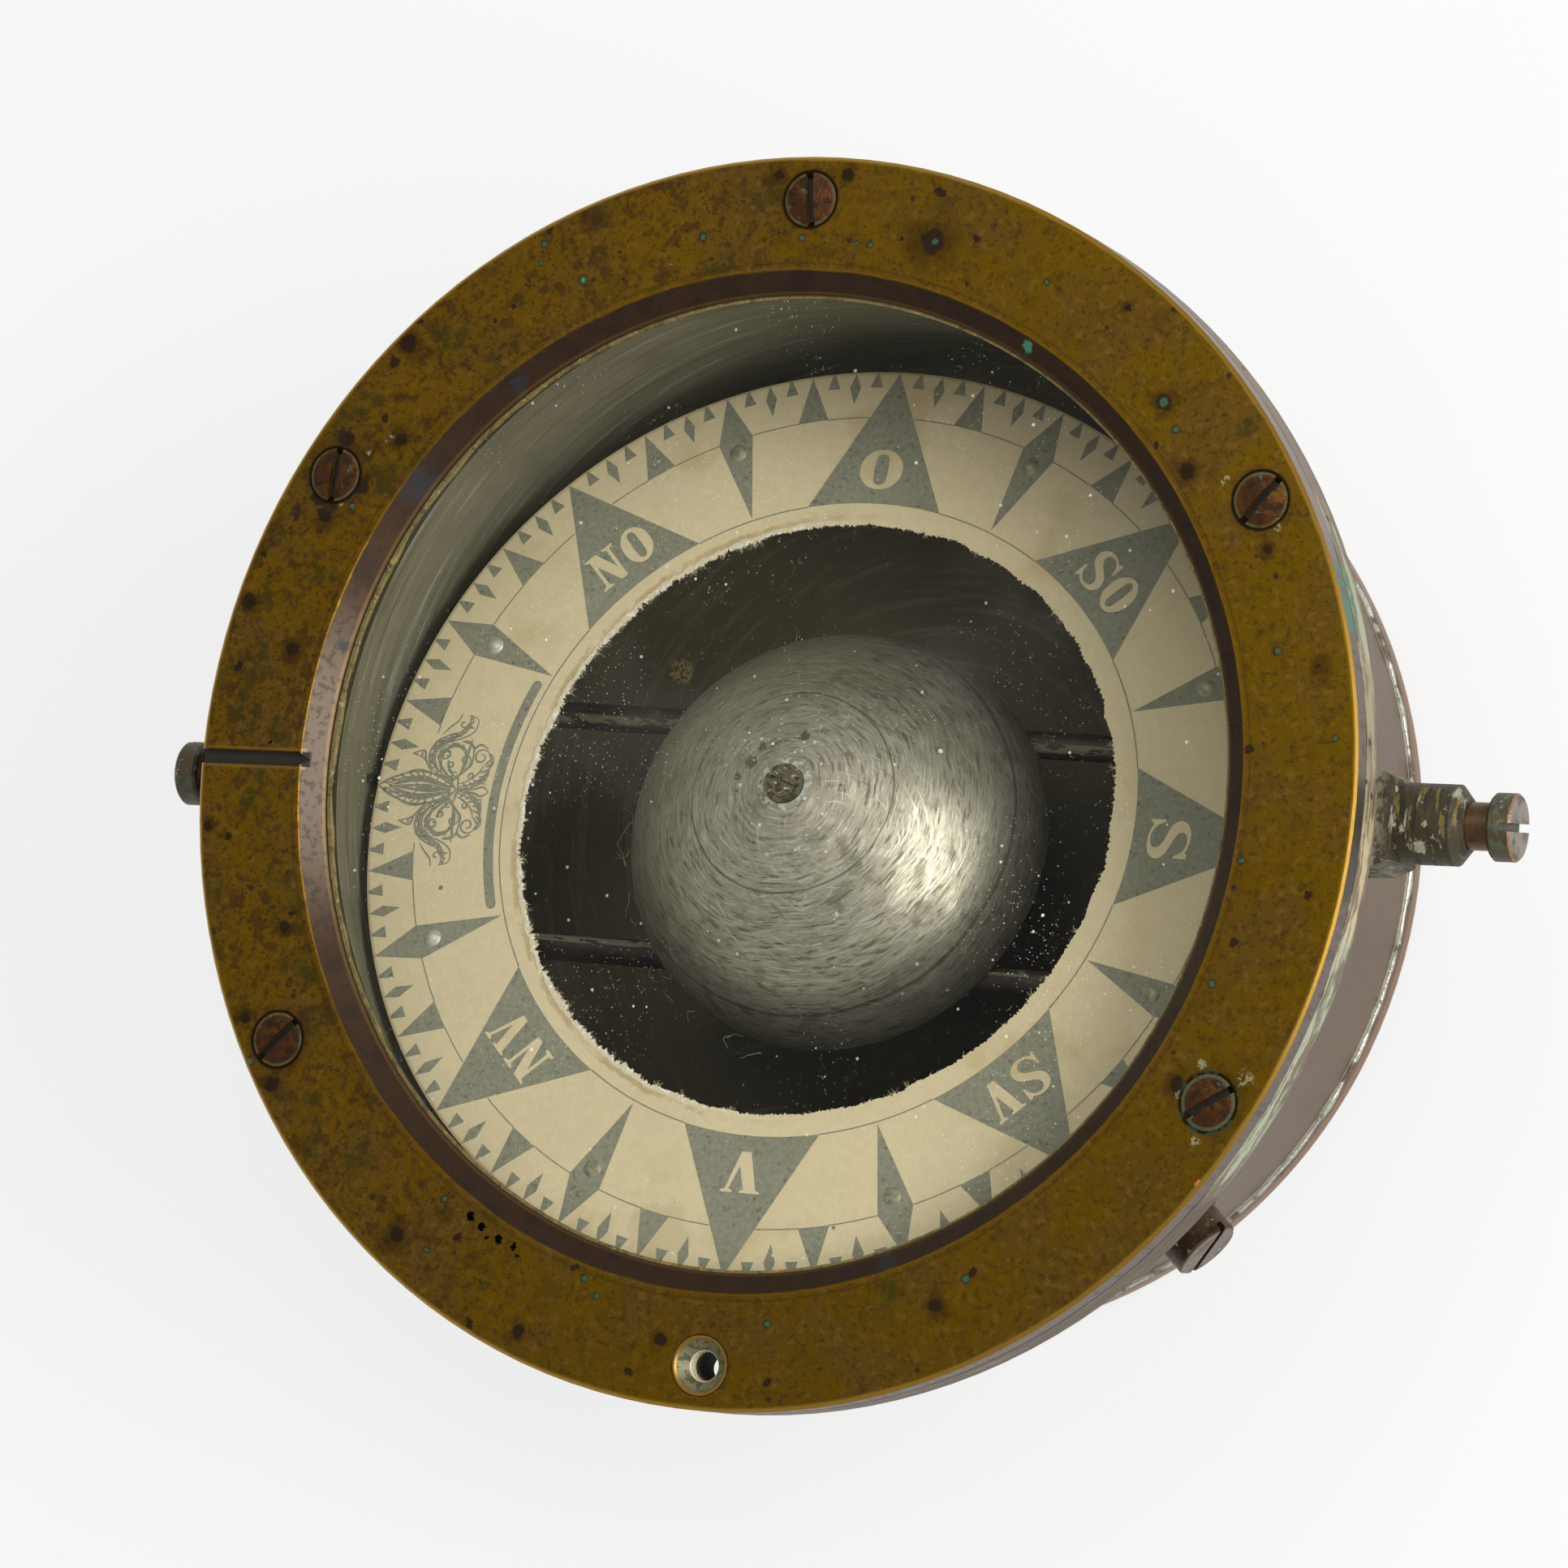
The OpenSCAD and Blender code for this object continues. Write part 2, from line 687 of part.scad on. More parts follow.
// Half section of the float's dome: a crown arc that runs into a side arc
module dome_section(inset) {
    tangent = [float_r - float_side_r, float_crown_r - float_h];
    reach = 2 * float_r / norm(tangent);
    intersection() {
        translate([0, float_h - float_crown_r]) circle(r = float_crown_r - inset);
        union() {
            translate([float_r - float_side_r, 0]) circle(r = float_side_r - inset);
            polygon([[0, float_h - float_crown_r],
                     [tangent[0] * reach, float_h - float_crown_r + tangent[1] * reach],
                     [0, 2 * float_h]]);
        }
        square([float_r, float_h]);
    }
}

module float_dome() {
    color([0.62, 0.62, 0.58])
    with_card() translate([0, 0, float_base_z]) difference() {
        rotate_extrude() difference() {
            dome_section(0);
            dome_section(float_t);
        }
        translate([0, 0, float_h / 2]) cylinder(h = float_h, d = cap_ring_d + 2 * fit);
    }
}

module float_well() {
    collar_in = jewel_d / 2 + jewel_run;
    plate_r = float_r - float_t - 3 * fit;
    color([0.50, 0.50, 0.46])
    with_card() rotate_extrude()
        polygon([[collar_in, jewel_top], [collar_in, collar_bottom],
                 [well_d / 2, float_base_z], [plate_r, float_base_z],
                 [plate_r, float_base_z + float_t],
                 [well_d / 2 + float_t, float_base_z + float_t],
                 [collar_in + collar_t, collar_bottom], [collar_in + collar_t, jewel_top]]);
}

module cap_ring() {
    color([0.80, 0.80, 0.76])
    with_card() difference() {
        translate([0, 0, jewel_top + jewel_end_gap]) cylinder(h = cap_ring_h, d = cap_ring_d);
        translate([0, 0, jewel_top - cut])
            cylinder(h = cap_ring_h + 3 * cut, d = cap_screw_d + 2 * fit);
    }
}

module cap_screw() {
    cap_z = jewel_top + jewel_end_gap + fit;
    color([0.45, 0.42, 0.36])
    with_card() difference() {
        translate([0, 0, cap_z])
            cylinder(h = cap_screw_h, d = cap_screw_d);
        rotate([0, 0, -20]) translate([-cap_screw_d, -0.35, cap_z + cap_screw_h - 0.6])
            cube([2 * cap_screw_d, 0.7, 0.6 + cut]);
    }
}

// Closed brass tube that holds one magnet
module needle_tube() {
    rotate([0, 90, 0]) difference() {
        translate([0, 0, -tube_half_l]) cylinder(h = 2 * tube_half_l, d = tube_d);
        translate([0, 0, -tube_half_l + 1])
            cylinder(h = 2 * tube_half_l - 2, d = tube_d - 2 * tube_wall);
    }
}

module magnet() {
    rotate([0, 90, 0]) translate([0, 0, magnet_short - tube_half_l])
        cylinder(h = 2 * (tube_half_l - magnet_short), d = tube_d - 2 * tube_wall - 2 * fit);
}

module north_needle_tube() {
    color([0.30, 0.24, 0.18]) with_card() translate([0, tube_y, tube_z]) needle_tube();
}

module south_needle_tube() {
    color([0.30, 0.24, 0.18]) with_card() translate([0, -tube_y, tube_z]) needle_tube();
}

module north_magnet() {
    color([0.35, 0.35, 0.36]) with_card() translate([0, tube_y, tube_z]) magnet();
}

module south_magnet() {
    color([0.35, 0.35, 0.36]) with_card() translate([0, -tube_y, tube_z]) magnet();
}

module tube_saddles() {
    half_w = tube_d / 2 + 1.2;
    color([0.60, 0.60, 0.56])
    with_card() for (x = [-saddle_place, saddle_place], y = [-tube_y, tube_y])
        translate([x, y, 0]) difference() {
            translate([-3, -half_w, tube_z]) cube([6, 2 * half_w, float_base_z - tube_z - fit]);
            translate([-5, 0, tube_z]) rotate([0, 90, 0]) cylinder(h = 10, d = tube_d + 2 * fit);
        }
}

// Clip round a needle tube, strap and riveted tab, drawn across the card's Y and Z
module hanger() {
    tab_in = hanger_y - 2.7;
    clip_z = tube_z + tube_d / 2;
    rotate([90, 0, 90]) translate([0, 0, -hanger_w / 2]) linear_extrude(hanger_w)
        difference() {
            union() {
                translate([tube_y, tube_z]) circle(d = tube_d + 2 * hanger_t);
                polygon([[tube_y - 0.6, clip_z], [tube_y + 0.6, clip_z],
                         [tab_in + hanger_t, backing_z - tab_t], [tab_in, backing_z - tab_t]]);
                translate([tab_in, backing_z - tab_t]) square([5.4, tab_t - fit]);
            }
            translate([tube_y, tube_z]) circle(d = tube_d + 2 * fit);
        }
}

module card_hangers() {
    color([0.34, 0.28, 0.20])
    with_card() for (x = [-hanger_x, hanger_x], side = [0, 1]) mirror([0, side, 0])
        difference() {
            translate([x, 0, 0]) hanger();
            translate([x, hanger_y, backing_z - 2])
                cylinder(h = 2 + cut, d = rivet_shank_d + 2 * fit);
        }
}

module card_backing() {
    color([0.55, 0.50, 0.40])
    with_card() difference() {
        ring(backing_in_r, backing_out_r, backing_z, paper_z);
        for (a = [rivet_step : 45 : 360]) rotate([0, 0, a])
            translate([rivet_r, 0, backing_z - cut])
                cylinder(h = backing_t + 2 * cut, d = rivet_shank_d + 2 * fit);
    }
}

module paper_card() {
    color([0.80, 0.74, 0.58])
    with_card() difference() {
        ring(card_hole_d / 2, card_r, paper_z, -card_drop);
        for (a = [rivet_step : 45 : 360]) rotate([0, 0, a])
            translate([rivet_r, 0, paper_z - cut])
                cylinder(h = paper_t + 2 * cut, d = rivet_shank_d + 2 * fit);
    }
}

module card_rivets() {
    color([0.66, 0.64, 0.58])
    with_card() for (i = [0 : 7]) rotate([0, 0, rivet_step + 45 * i]) translate([rivet_r, 0, 0]) {
        // The four nearest the needles' line also hold a hanger's tab
        tail_z = (i % 4 == 0 || i % 4 == 3) ? backing_z - tab_t : backing_z;
        translate([0, 0, -card_drop]) rotate_extrude() intersection() {
            translate([0, rivet_head_h - rivet_dome_r]) circle(r = rivet_dome_r);
            square([rivet_d / 2, rivet_head_h]);
        }
        translate([0, 0, tail_z - rivet_tail_h])
            cylinder(h = -card_drop - tail_z + rivet_tail_h + rivet_head_h / 2, d = rivet_shank_d);
        translate([0, 0, tail_z - rivet_tail_h]) cylinder(h = rivet_tail_h - fit, d = rivet_d - 0.4);
    }
}

bezel_ring();
bezel_screws();
bezel_gasket();
cover_glass();
upper_packing();
lower_packing();
bowl_flange();
bowl_wall();
bowl_floor();
solder_seam();
foot_ring();
ballast_ring();
ballast_screws();
diaphragm();
diaphragm_ring();
diaphragm_screws();
fore_boss();
aft_boss();
fore_pivot();
aft_pivot();
filler_boss();
filler_plug();
plug_washer();
lubber_line();
stem_base();
stem_screws();
pivot_stem();
pivot_point();
jewel_cup();
float_dome();
float_well();
cap_ring();
cap_screw();
north_needle_tube();
south_needle_tube();
north_magnet();
south_magnet();
tube_saddles();
card_hangers();
card_backing();
paper_card();
card_rivets();
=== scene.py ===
import math
import random

import bpy
from mathutils import Matrix, Vector


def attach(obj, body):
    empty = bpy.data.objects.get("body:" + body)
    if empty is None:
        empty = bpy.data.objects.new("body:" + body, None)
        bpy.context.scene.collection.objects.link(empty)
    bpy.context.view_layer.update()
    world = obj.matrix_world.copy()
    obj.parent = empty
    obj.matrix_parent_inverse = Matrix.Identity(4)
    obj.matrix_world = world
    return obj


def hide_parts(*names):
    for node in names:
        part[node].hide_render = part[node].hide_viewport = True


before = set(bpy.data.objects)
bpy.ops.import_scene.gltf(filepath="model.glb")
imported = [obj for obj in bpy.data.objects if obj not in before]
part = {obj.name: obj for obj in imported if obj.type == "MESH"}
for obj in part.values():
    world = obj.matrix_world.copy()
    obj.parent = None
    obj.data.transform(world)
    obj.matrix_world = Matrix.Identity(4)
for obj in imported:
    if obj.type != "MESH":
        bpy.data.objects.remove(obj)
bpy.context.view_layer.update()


# Foot ring. The ring on which the bowl stands, cast in brass and turned, with a round outer edge
# that a century of shelves has rubbed. It is soldered to the foot of the wall.
class Wire:
    """The output of a node in a finish. Sums and products on it add Math nodes."""

    def __init__(self, finish, socket):
        self.finish = finish
        self.socket = socket

    def maths(self, operation, *others):
        return self.finish.node("ShaderNodeMath", {"operation": operation}, (self, *others))

    def __add__(self, other):
        return self.maths("ADD", other)

    def __mul__(self, other):
        return self.maths("MULTIPLY", other)

    def __sub__(self, other):
        return self.maths("SUBTRACT", other)

    def __rsub__(self, other):
        return self.finish.node("ShaderNodeMath", {"operation": "SUBTRACT"}, (other, self))

    def __truediv__(self, other):
        return self.maths("DIVIDE", other)

    __radd__ = __add__
    __rmul__ = __mul__


def tint(red, green, blue):
    """A colour as the eye reads it, 0 to 255, in the light values that the shader needs."""
    linear = [((c / 255 + 0.055) / 1.055) ** 2.4 if c > 10 else c / 3294.6
              for c in (red, green, blue)]
    return (*linear, 1.0)


class Finish:
    """A finish laid on in layers: a ground, then each layer that covers part of it."""

    def __init__(self, name, ground, rough=0.5, metal=1.0, pose=None):
        self.material = bpy.data.materials.new(name)
        self.material.use_nodes = True
        self.tree = self.material.node_tree
        self.tree.nodes.clear()
        self.colour = tint(*ground)
        self.rough = rough
        self.metal = metal
        self.height = None
        self.at = self.node("ShaderNodeTexCoord", output="Object")
        if pose:
            self.at = self.node("ShaderNodeMapping", {"vector_type": "TEXTURE"},
                                {"Vector": self.at, "Location": pose.translation,
                                 "Rotation": pose.to_euler()})
        split = self.node("ShaderNodeSeparateXYZ", inputs=[self.at]).socket.node.outputs
        self.x, self.y, self.z = (Wire(self, socket) for socket in split)
        self.flat = self.vector("MULTIPLY", self.at, (1, 1, 0))
        self.radius = self.vector("LENGTH", self.flat, output="Value")
        self.angle = self.y.maths("ARCTAN2", self.x) * math.degrees(1)

    def node(self, kind, settings=None, inputs=(), output=0):
        node = self.tree.nodes.new(kind)
        for name, value in (settings or {}).items():
            setattr(node, name, value)
        for key, value in inputs.items() if isinstance(inputs, dict) else enumerate(inputs):
            if isinstance(value, Wire):
                self.tree.links.new(value.socket, node.inputs[key])
            else:
                node.inputs[key].default_value = value
        return Wire(self, node.outputs[output]) if node.outputs else node

    def vector(self, operation, first, second=(0, 0, 0), output=0):
        return self.node("ShaderNodeVectorMath", {"operation": operation}, [first, second], output)

    def place(self, x, y, z):
        return self.node("ShaderNodeCombineXYZ", None, [x, y, z])

    def mix(self, mask, below, above):
        """What lies below where the mask is 0, and above where it is 1."""
        coloured = isinstance(below, tuple) or (isinstance(below, Wire)
                                                and below.socket.type == "RGBA")
        kind, first, second, output = ("RGBA", 6, 7, 2) if coloured else ("FLOAT", 2, 3, 0)
        return self.node("ShaderNodeMix", {"data_type": kind},
                         {0: mask, first: below, second: above}, output)

    def smooth(self, value, low, high):
        """0 up to low and 1 from high on, with a soft step between."""
        return self.node("ShaderNodeMapRange", {"interpolation_type": "SMOOTHSTEP"},
                         {"Value": value, "From Min": low, "From Max": high}, "Result")

    def band(self, value, low, high, soft):
        """1 between two values, with a soft edge at both."""
        return self.smooth(value, low - soft, low) * self.smooth(value, high + soft, high)

    def noise(self, size, detail=3.0, seed=0.0, at=None, output="Fac"):
        """Clouds of about that size, in metres, from 0 to 1 round 0.5."""
        shifted = self.vector("ADD", at or self.at, (seed * 0.37, seed * 0.19, seed * 0.23))
        return self.node("ShaderNodeTexNoise", None,
                         {"Vector": shifted, "Scale": 1 / size, "Detail": detail,
                          "Roughness": 0.55}, output)

    def patches(self, size, low, high, detail=4.0, seed=0.0, at=None):
        return self.smooth(self.noise(size, detail, seed, at), low, high)

    def streaks(self, u, v, w, detail=4.0, seed=0.0):
        """Clouds drawn out along three lengths, each given in sizes of the clouds along it."""
        return self.noise(1, detail, seed, self.place(u, v, w))

    def turned(self, fine, long=0.03, detail=3.0, seed=0.0):
        """Marks of the lathe: fine across its circles and long along them."""
        across = (self.radius + self.z) / fine
        return self.streaks(self.x / long, self.y / long, across, detail, seed)

    def specks(self, size, share, seed=0.0, spread=0.3):
        """Round specks in a share of the cells of a grid of that size."""
        shifted = self.vector("ADD", self.at, (seed * 0.31, seed * 0.17, seed * 0.29))
        cells = self.node("ShaderNodeTexVoronoi", None, {"Vector": shifted, "Scale": 1 / size})
        outputs = cells.socket.node.outputs
        luck = self.node("ShaderNodeSeparateColor", None, [Wire(self, outputs["Color"])])
        luck_outputs = luck.socket.node.outputs
        reach = Wire(self, luck_outputs[1]) * spread + 0.05
        dot = self.smooth(Wire(self, outputs["Distance"]) / reach, 1.0, 0.55)
        return dot * luck.maths("LESS_THAN", share)

    def near(self, spot, size, ragged=0.5, seed=0.0):
        """1 round a spot and 0 beyond its ragged edge."""
        away = self.vector("DISTANCE", self.at, spot, "Value") / size
        away = away + (self.noise(size * 0.6, 3, seed + spot[0]) - 0.5) * (2 * ragged)
        return self.smooth(away, 1.0, 0.6)

    def spots(self, places, ragged=0.0004, grain=0.0015, seed=0.0):
        """The distance to the nearest of some spots, 1 at its edge. A spot is an angle in degrees,
        a radius and a width in millimetres, and its edge wanders by about ragged metres."""
        drift = self.vector("SUBTRACT", self.noise(grain, 3, seed, output="Color"), (0.5, 0.5, 0.5))
        at = self.vector("ADD", self.flat,
                         self.vector("MULTIPLY", drift, (4 * ragged, 4 * ragged, 0)))
        nearest = None
        for angle, out, width in places:
            middle = (out / 1000 * math.cos(math.radians(angle)),
                      out / 1000 * math.sin(math.radians(angle)), 0)
            away = self.vector("DISTANCE", at, middle, "Value") * (2000 / width)
            nearest = nearest.maths("MINIMUM", away) if nearest else away
        return nearest

    def cover(self, mask, colour=None, rough=None, metal=None, height=None):
        """One more layer, as thick as its mask, with a height in metres."""
        if colour is not None:
            self.colour = self.mix(mask, self.colour, tint(*colour))
        if rough is not None:
            self.rough = self.mix(mask, self.rough, rough)
        if metal is not None:
            self.metal = self.mix(mask, self.metal, metal)
        if height is not None:
            self.relief(mask, height)
        return self

    def relief(self, value, height):
        """Adds to the height without a change of colour."""
        layer = value * height
        self.height = layer if self.height is None else self.height + layer
        return self

    def shade(self, value, low, high):
        """Darkens and lightens what lies there, from low to high, by a value."""
        level = self.node("ShaderNodeMapRange", None,
                          {"Value": value, "To Min": low, "To Max": high}, "Result")
        grey = self.node("ShaderNodeCombineColor", None, [level, level, level])
        self.colour = self.node("ShaderNodeMix", {"data_type": "RGBA", "blend_type": "MULTIPLY"},
                                {0: 1.0, 6: self.colour, 7: grey}, 2)
        return self

    def shader(self, **constants):
        inputs = {"Base Color": self.colour, "Roughness": self.rough, "Metallic": self.metal}
        if self.height is not None:
            inputs["Normal"] = self.node("ShaderNodeBump", None,
                                         {"Height": self.height, "Distance": 1.0}, "Normal")
        inputs.update({name.replace("_", " ").title(): value
                       for name, value in constants.items()})
        return self.node("ShaderNodeBsdfPrincipled", None, inputs)

    def dress(self, *pieces, surface=None, **constants):
        """Closes the finish and gives it to the pieces."""
        surface = surface or self.shader(**constants)
        self.node("ShaderNodeOutputMaterial", {"target": "ALL"}, {"Surface": surface})
        for piece in pieces:
            if not piece.material_slots:
                piece.data.materials.append(self.material)
            for slot in piece.material_slots:
                slot.material = self.material
        return self.material


foot_round = (0.0812, 0.0819)  # the radii between which its outer edge turns over
foot = Finish("foot_brass", (112, 86, 70), 0.4, 0.7)
foot.cover(foot.patches(0.012, 0.45, 0.65) * 0.6, (84, 62, 52), 0.48)
foot.cover(foot.patches(0.004, 0.58, 0.7, seed=2) * 0.6, (134, 98, 66))
foot.cover(foot.specks(0.003, 0.14), (54, 44, 36), 0.6, 0.3)
foot_edge = foot.smooth(foot.radius + (foot.noise(0.006, seed=3) - 0.5) * 0.0012, *foot_round)
foot.cover(foot_edge * foot.smooth(foot.z, 0.0062, 0.005) * 0.8, (146, 112, 78), 0.36, 0.8)
foot.cover(foot.smooth(foot.z, 0.0012, 0.0002), (146, 112, 70), 0.38, 0.9)
foot.relief(foot.turned(0.0003), 0.000012).relief(foot.noise(0.0009, 4), 0.00002)
foot.dress(part["foot_ring"])


# Bowl wall. A drawn brass tube. Outside it has gone a smooth purple grey, with pale rings where
# drops dried; inside it is grey and was wiped round and round, with the lubber line painted on.
wall_skins = (0.0801, 0.0798)  # radii just under its outer and just over its inner skin
wall_line = (0.0084, 0.0079)   # heights between which the solder's pale line begins
wall = Finish("wall_brass", (110, 91, 71), 0.38, 0.65)
wall_bands = wall.streaks(wall.x / 0.03, wall.y / 0.03, wall.z / 0.003, 4, 1)
wall.shade(wall_bands, 0.84, 1.14).shade(wall.noise(0.03, 3, 2), 0.86, 1.1)
wall.cover(wall.patches(0.014, 0.54, 0.68, seed=3) * 0.5, (104, 82, 66), 0.4)
wall.cover(wall.smooth(wall.z, 0.068, 0.0725) * wall.patches(0.006, 0.42, 0.6, seed=4),
           (84, 70, 60), 0.5)
wall_drips = wall.streaks(wall.angle / 1.4, 0.0, wall.z / 0.02, 4, 5)
wall.cover(wall.smooth(wall_drips, 0.58, 0.7) * wall.smooth(wall.z, 0.05, 0.072) * 0.6,
           (84, 72, 62), 0.5)
wall.cover(wall.specks(0.004, 0.06, 4, 0.12) * 0.8, (66, 56, 46), 0.6, 0.3)
wall_drop = wall.node("ShaderNodeTexVoronoi", None, {"Vector": wall.at, "Scale": 1 / 0.009})
wall_ring = Wire(wall, wall_drop.socket.node.outputs["Distance"]) - 0.16
wall.cover(wall.smooth(wall_ring.maths("ABSOLUTE"), 0.035, 0.012)
           * wall.patches(0.03, 0.52, 0.58, seed=8) * wall.smooth(wall.z, 0.034, 0.012),
           (190, 184, 172), 0.6, 0.2, 0.00004)
wall.cover(wall.smooth(wall.z + (wall.noise(0.003, 3, 9) - 0.5) * 0.0015, *wall_line),
           (188, 184, 168), 0.5, 0.5, 0.00006)
wall_inside = wall.smooth(wall.radius, *wall_skins)
wall.cover(wall_inside, (130, 125, 106), 0.55, 0.2)
wall_wiped = wall.streaks(wall.x / 0.03, wall.y / 0.03, wall.z / 0.0012, 5, 11)
wall_marks = wall.streaks(wall.x / 0.02, wall.y / 0.02, wall.z / 0.0004, 4, 12)
wall.cover(wall_inside * wall.smooth(wall_wiped, 0.56, 0.74) * 0.75, (182, 185, 178), 0.45, 0.2)
wall.cover(wall_inside * wall.smooth(wall_wiped, 0.48, 0.28) * 0.7, (96, 92, 74), 0.55)
wall.cover(wall_inside * wall.smooth(wall_marks, 0.64, 0.72) * 0.7, (214, 218, 212), 0.5)
wall.cover(wall_inside * wall.patches(0.02, 0.5, 0.66, seed=13) * 0.5, (108, 104, 82), 0.6)
wall.relief(wall_wiped, 0.00002).relief(wall.noise(0.001, 3), 0.00001)
wall.dress(part["bowl_wall"])

lubber = Finish("lubber_black", (46, 44, 36), 0.6, 0.0)
lubber.cover(lubber.patches(0.002, 0.55, 0.7), (86, 82, 66), 0.7)
lubber.dress(part["lubber_line"])


# Solder seam. The bead of tin solder that holds the wall on the foot ring, run in by hand: it
# swells and thins, still shines on top, and zinc-white salts have grown beside it.
def bead(name, radius, z, size, turns, wave, seed, squash=1.0, heavy=None):
    """A closed ring of solder or putty, swollen by random waves. Heavy gives its width, as a share,
    at each twelfth of a turn from -180 degrees."""
    bpy.ops.object.select_all(action="DESELECT")
    bpy.ops.mesh.primitive_torus_add(major_segments=turns, minor_segments=8,
                                     major_radius=radius, minor_radius=size,
                                     location=(0, 0, z))
    ring = bpy.context.object
    ring.name = name
    bpy.ops.object.transform_apply(location=True, rotation=True, scale=True)
    draw = random.Random(seed)
    waves = [(draw.randint(5, 90), draw.uniform(0, math.tau), draw.uniform(0.3, 1.0))
             for _ in range(14)]  # how often round the ring, where it starts, how strong
    for vertex in ring.data.vertices:
        around = math.atan2(vertex.co.y, vertex.co.x)
        swell = sum(share * math.sin(count * around + start) for count, start, share in waves)
        out = math.hypot(vertex.co.x, vertex.co.y) - radius
        grown = max(0.25, 1 + wave * swell / 3)
        if heavy:
            hour = (around / math.tau + 0.5) * len(heavy)
            low, part_way = int(hour) % len(heavy), hour % 1
            grown *= heavy[low] * (1 - part_way) + heavy[(low + 1) % len(heavy)] * part_way
            out = out if out < 0 else out * 0.3
        new = radius + out * grown
        height = (vertex.co.z - z) * squash * min(grown, 1.6)
        vertex.co = (new * math.cos(around), new * math.sin(around), z + height)
    bpy.ops.object.shade_smooth()
    return ring


solder_line = bead("solder_line", 0.0816, 0.0072, 0.0005, 360, 0.25, 3)
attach(solder_line, "bowl")
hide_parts("solder_seam")

solder = Finish("solder", (196, 195, 182), 0.36, 0.8)
solder.cover(solder.patches(0.003, 0.54, 0.64), (160, 164, 148), 0.55, 0.3)
solder.cover(solder.patches(0.0022, 0.6, 0.68, seed=3), (112, 128, 106), 0.7, 0.1)
solder.cover(solder.patches(0.005, 0.52, 0.62, seed=4), (104, 90, 74), 0.55, 0.4)
solder.cover(solder.specks(0.0012, 0.3, 2), (236, 238, 230), 0.5, 0.5)
solder.relief(solder.noise(0.0012, 5), 0.0002)
solder.dress(solder_line, part["tube_saddles"])


# Bowl floor. A turned brass disc soldered inside the wall, black with the dregs of the old liquid
# and wiped by its swirl, with a land underneath for the diaphragm.
floor = Finish("floor_brass", (70, 61, 42), 0.65, 0.1)
floor.cover(floor.patches(0.02, 0.42, 0.66) * 0.5, (46, 39, 26), 0.6)
floor_far = floor.smooth(floor.y * 0.8 - floor.x * 0.6, -0.02, 0.05)
swirl = floor.streaks(floor.x / 0.02, floor.y / 0.02, floor.radius / 0.0016, 4, 2)
floor.cover(floor_far * 0.75, (124, 115, 92), 0.6)
floor.cover(floor.smooth(swirl, 0.5, 0.72) * floor_far * 0.7, (146, 138, 114), 0.6)
floor.cover(floor.smooth(swirl, 0.62, 0.74) * 0.3, (84, 80, 66), 0.5)
floor.cover(floor.specks(0.0035, 0.2, 3, 0.14), (104, 98, 82), 0.7, 0.1)
floor_flake = floor.near((-0.0490, 0.0260, 0.0094), 0.0026, 0.4)
floor.cover(floor_flake * floor.patches(0.0007, 0.46, 0.52, 3, 6), (206, 174, 122), 0.6, 0.1)
floor.cover(floor.smooth(floor.z, 0.0075, 0.0068), (96, 74, 44), 0.5, 0.6)
floor.dress(part["bowl_floor"])


# Ballast ring and its screws. Lead, cast and turned, dull grey with white bloom, held up in the
# hollow of the foot by four small brass screws.
lead = Finish("lead", (104, 106, 110), 0.6, 0.4)
lead.cover(lead.patches(0.006, 0.48, 0.64), (134, 136, 138), 0.75, 0.1)
lead.cover(lead.patches(0.0025, 0.6, 0.68, seed=2), (176, 176, 170), 0.85, 0.0)
lead.cover(lead.patches(0.015, 0.56, 0.66, seed=3), (78, 78, 80), 0.55)
lead.relief(lead.noise(0.002, 5), 0.0001)
lead.dress(part["ballast_ring"])


# Expansion diaphragm. A corrugated sheet of thin brass that lets the liquid swell and shrink, held
# by a clamping ring and eight screws under the floor.
def old_brass(name, ground, dark, rough=0.4, metal=0.8, fine=0.0003):
    """Brass that nobody has polished for years: brown clouds, lathe marks and black specks."""
    finish = Finish(name, ground, rough, metal)
    finish.cover(finish.patches(0.006, 0.46, 0.64), dark, rough + 0.1)
    finish.cover(finish.patches(0.0018, 0.6, 0.7, seed=1), dark, rough + 0.15)
    finish.cover(finish.specks(0.002, 0.2, 2), (40, 34, 26), 0.7, 0.2)
    finish.relief(finish.turned(fine), 0.00002).relief(finish.noise(0.0008, 4), 0.00002)
    return finish


diaphragm = old_brass("diaphragm_brass", (176, 138, 74), (124, 92, 48))
diaphragm.cover(diaphragm.patches(0.009, 0.58, 0.7, seed=5), (88, 104, 72), 0.7, 0.1)
diaphragm.dress(part["diaphragm"])
old_brass("clamp_brass", (132, 104, 56), (92, 68, 38)).dress(part["diaphragm_ring"])
old_brass("under_screws", (122, 92, 52), (78, 56, 34)).dress(
    part["ballast_screws"], part["diaphragm_screws"])


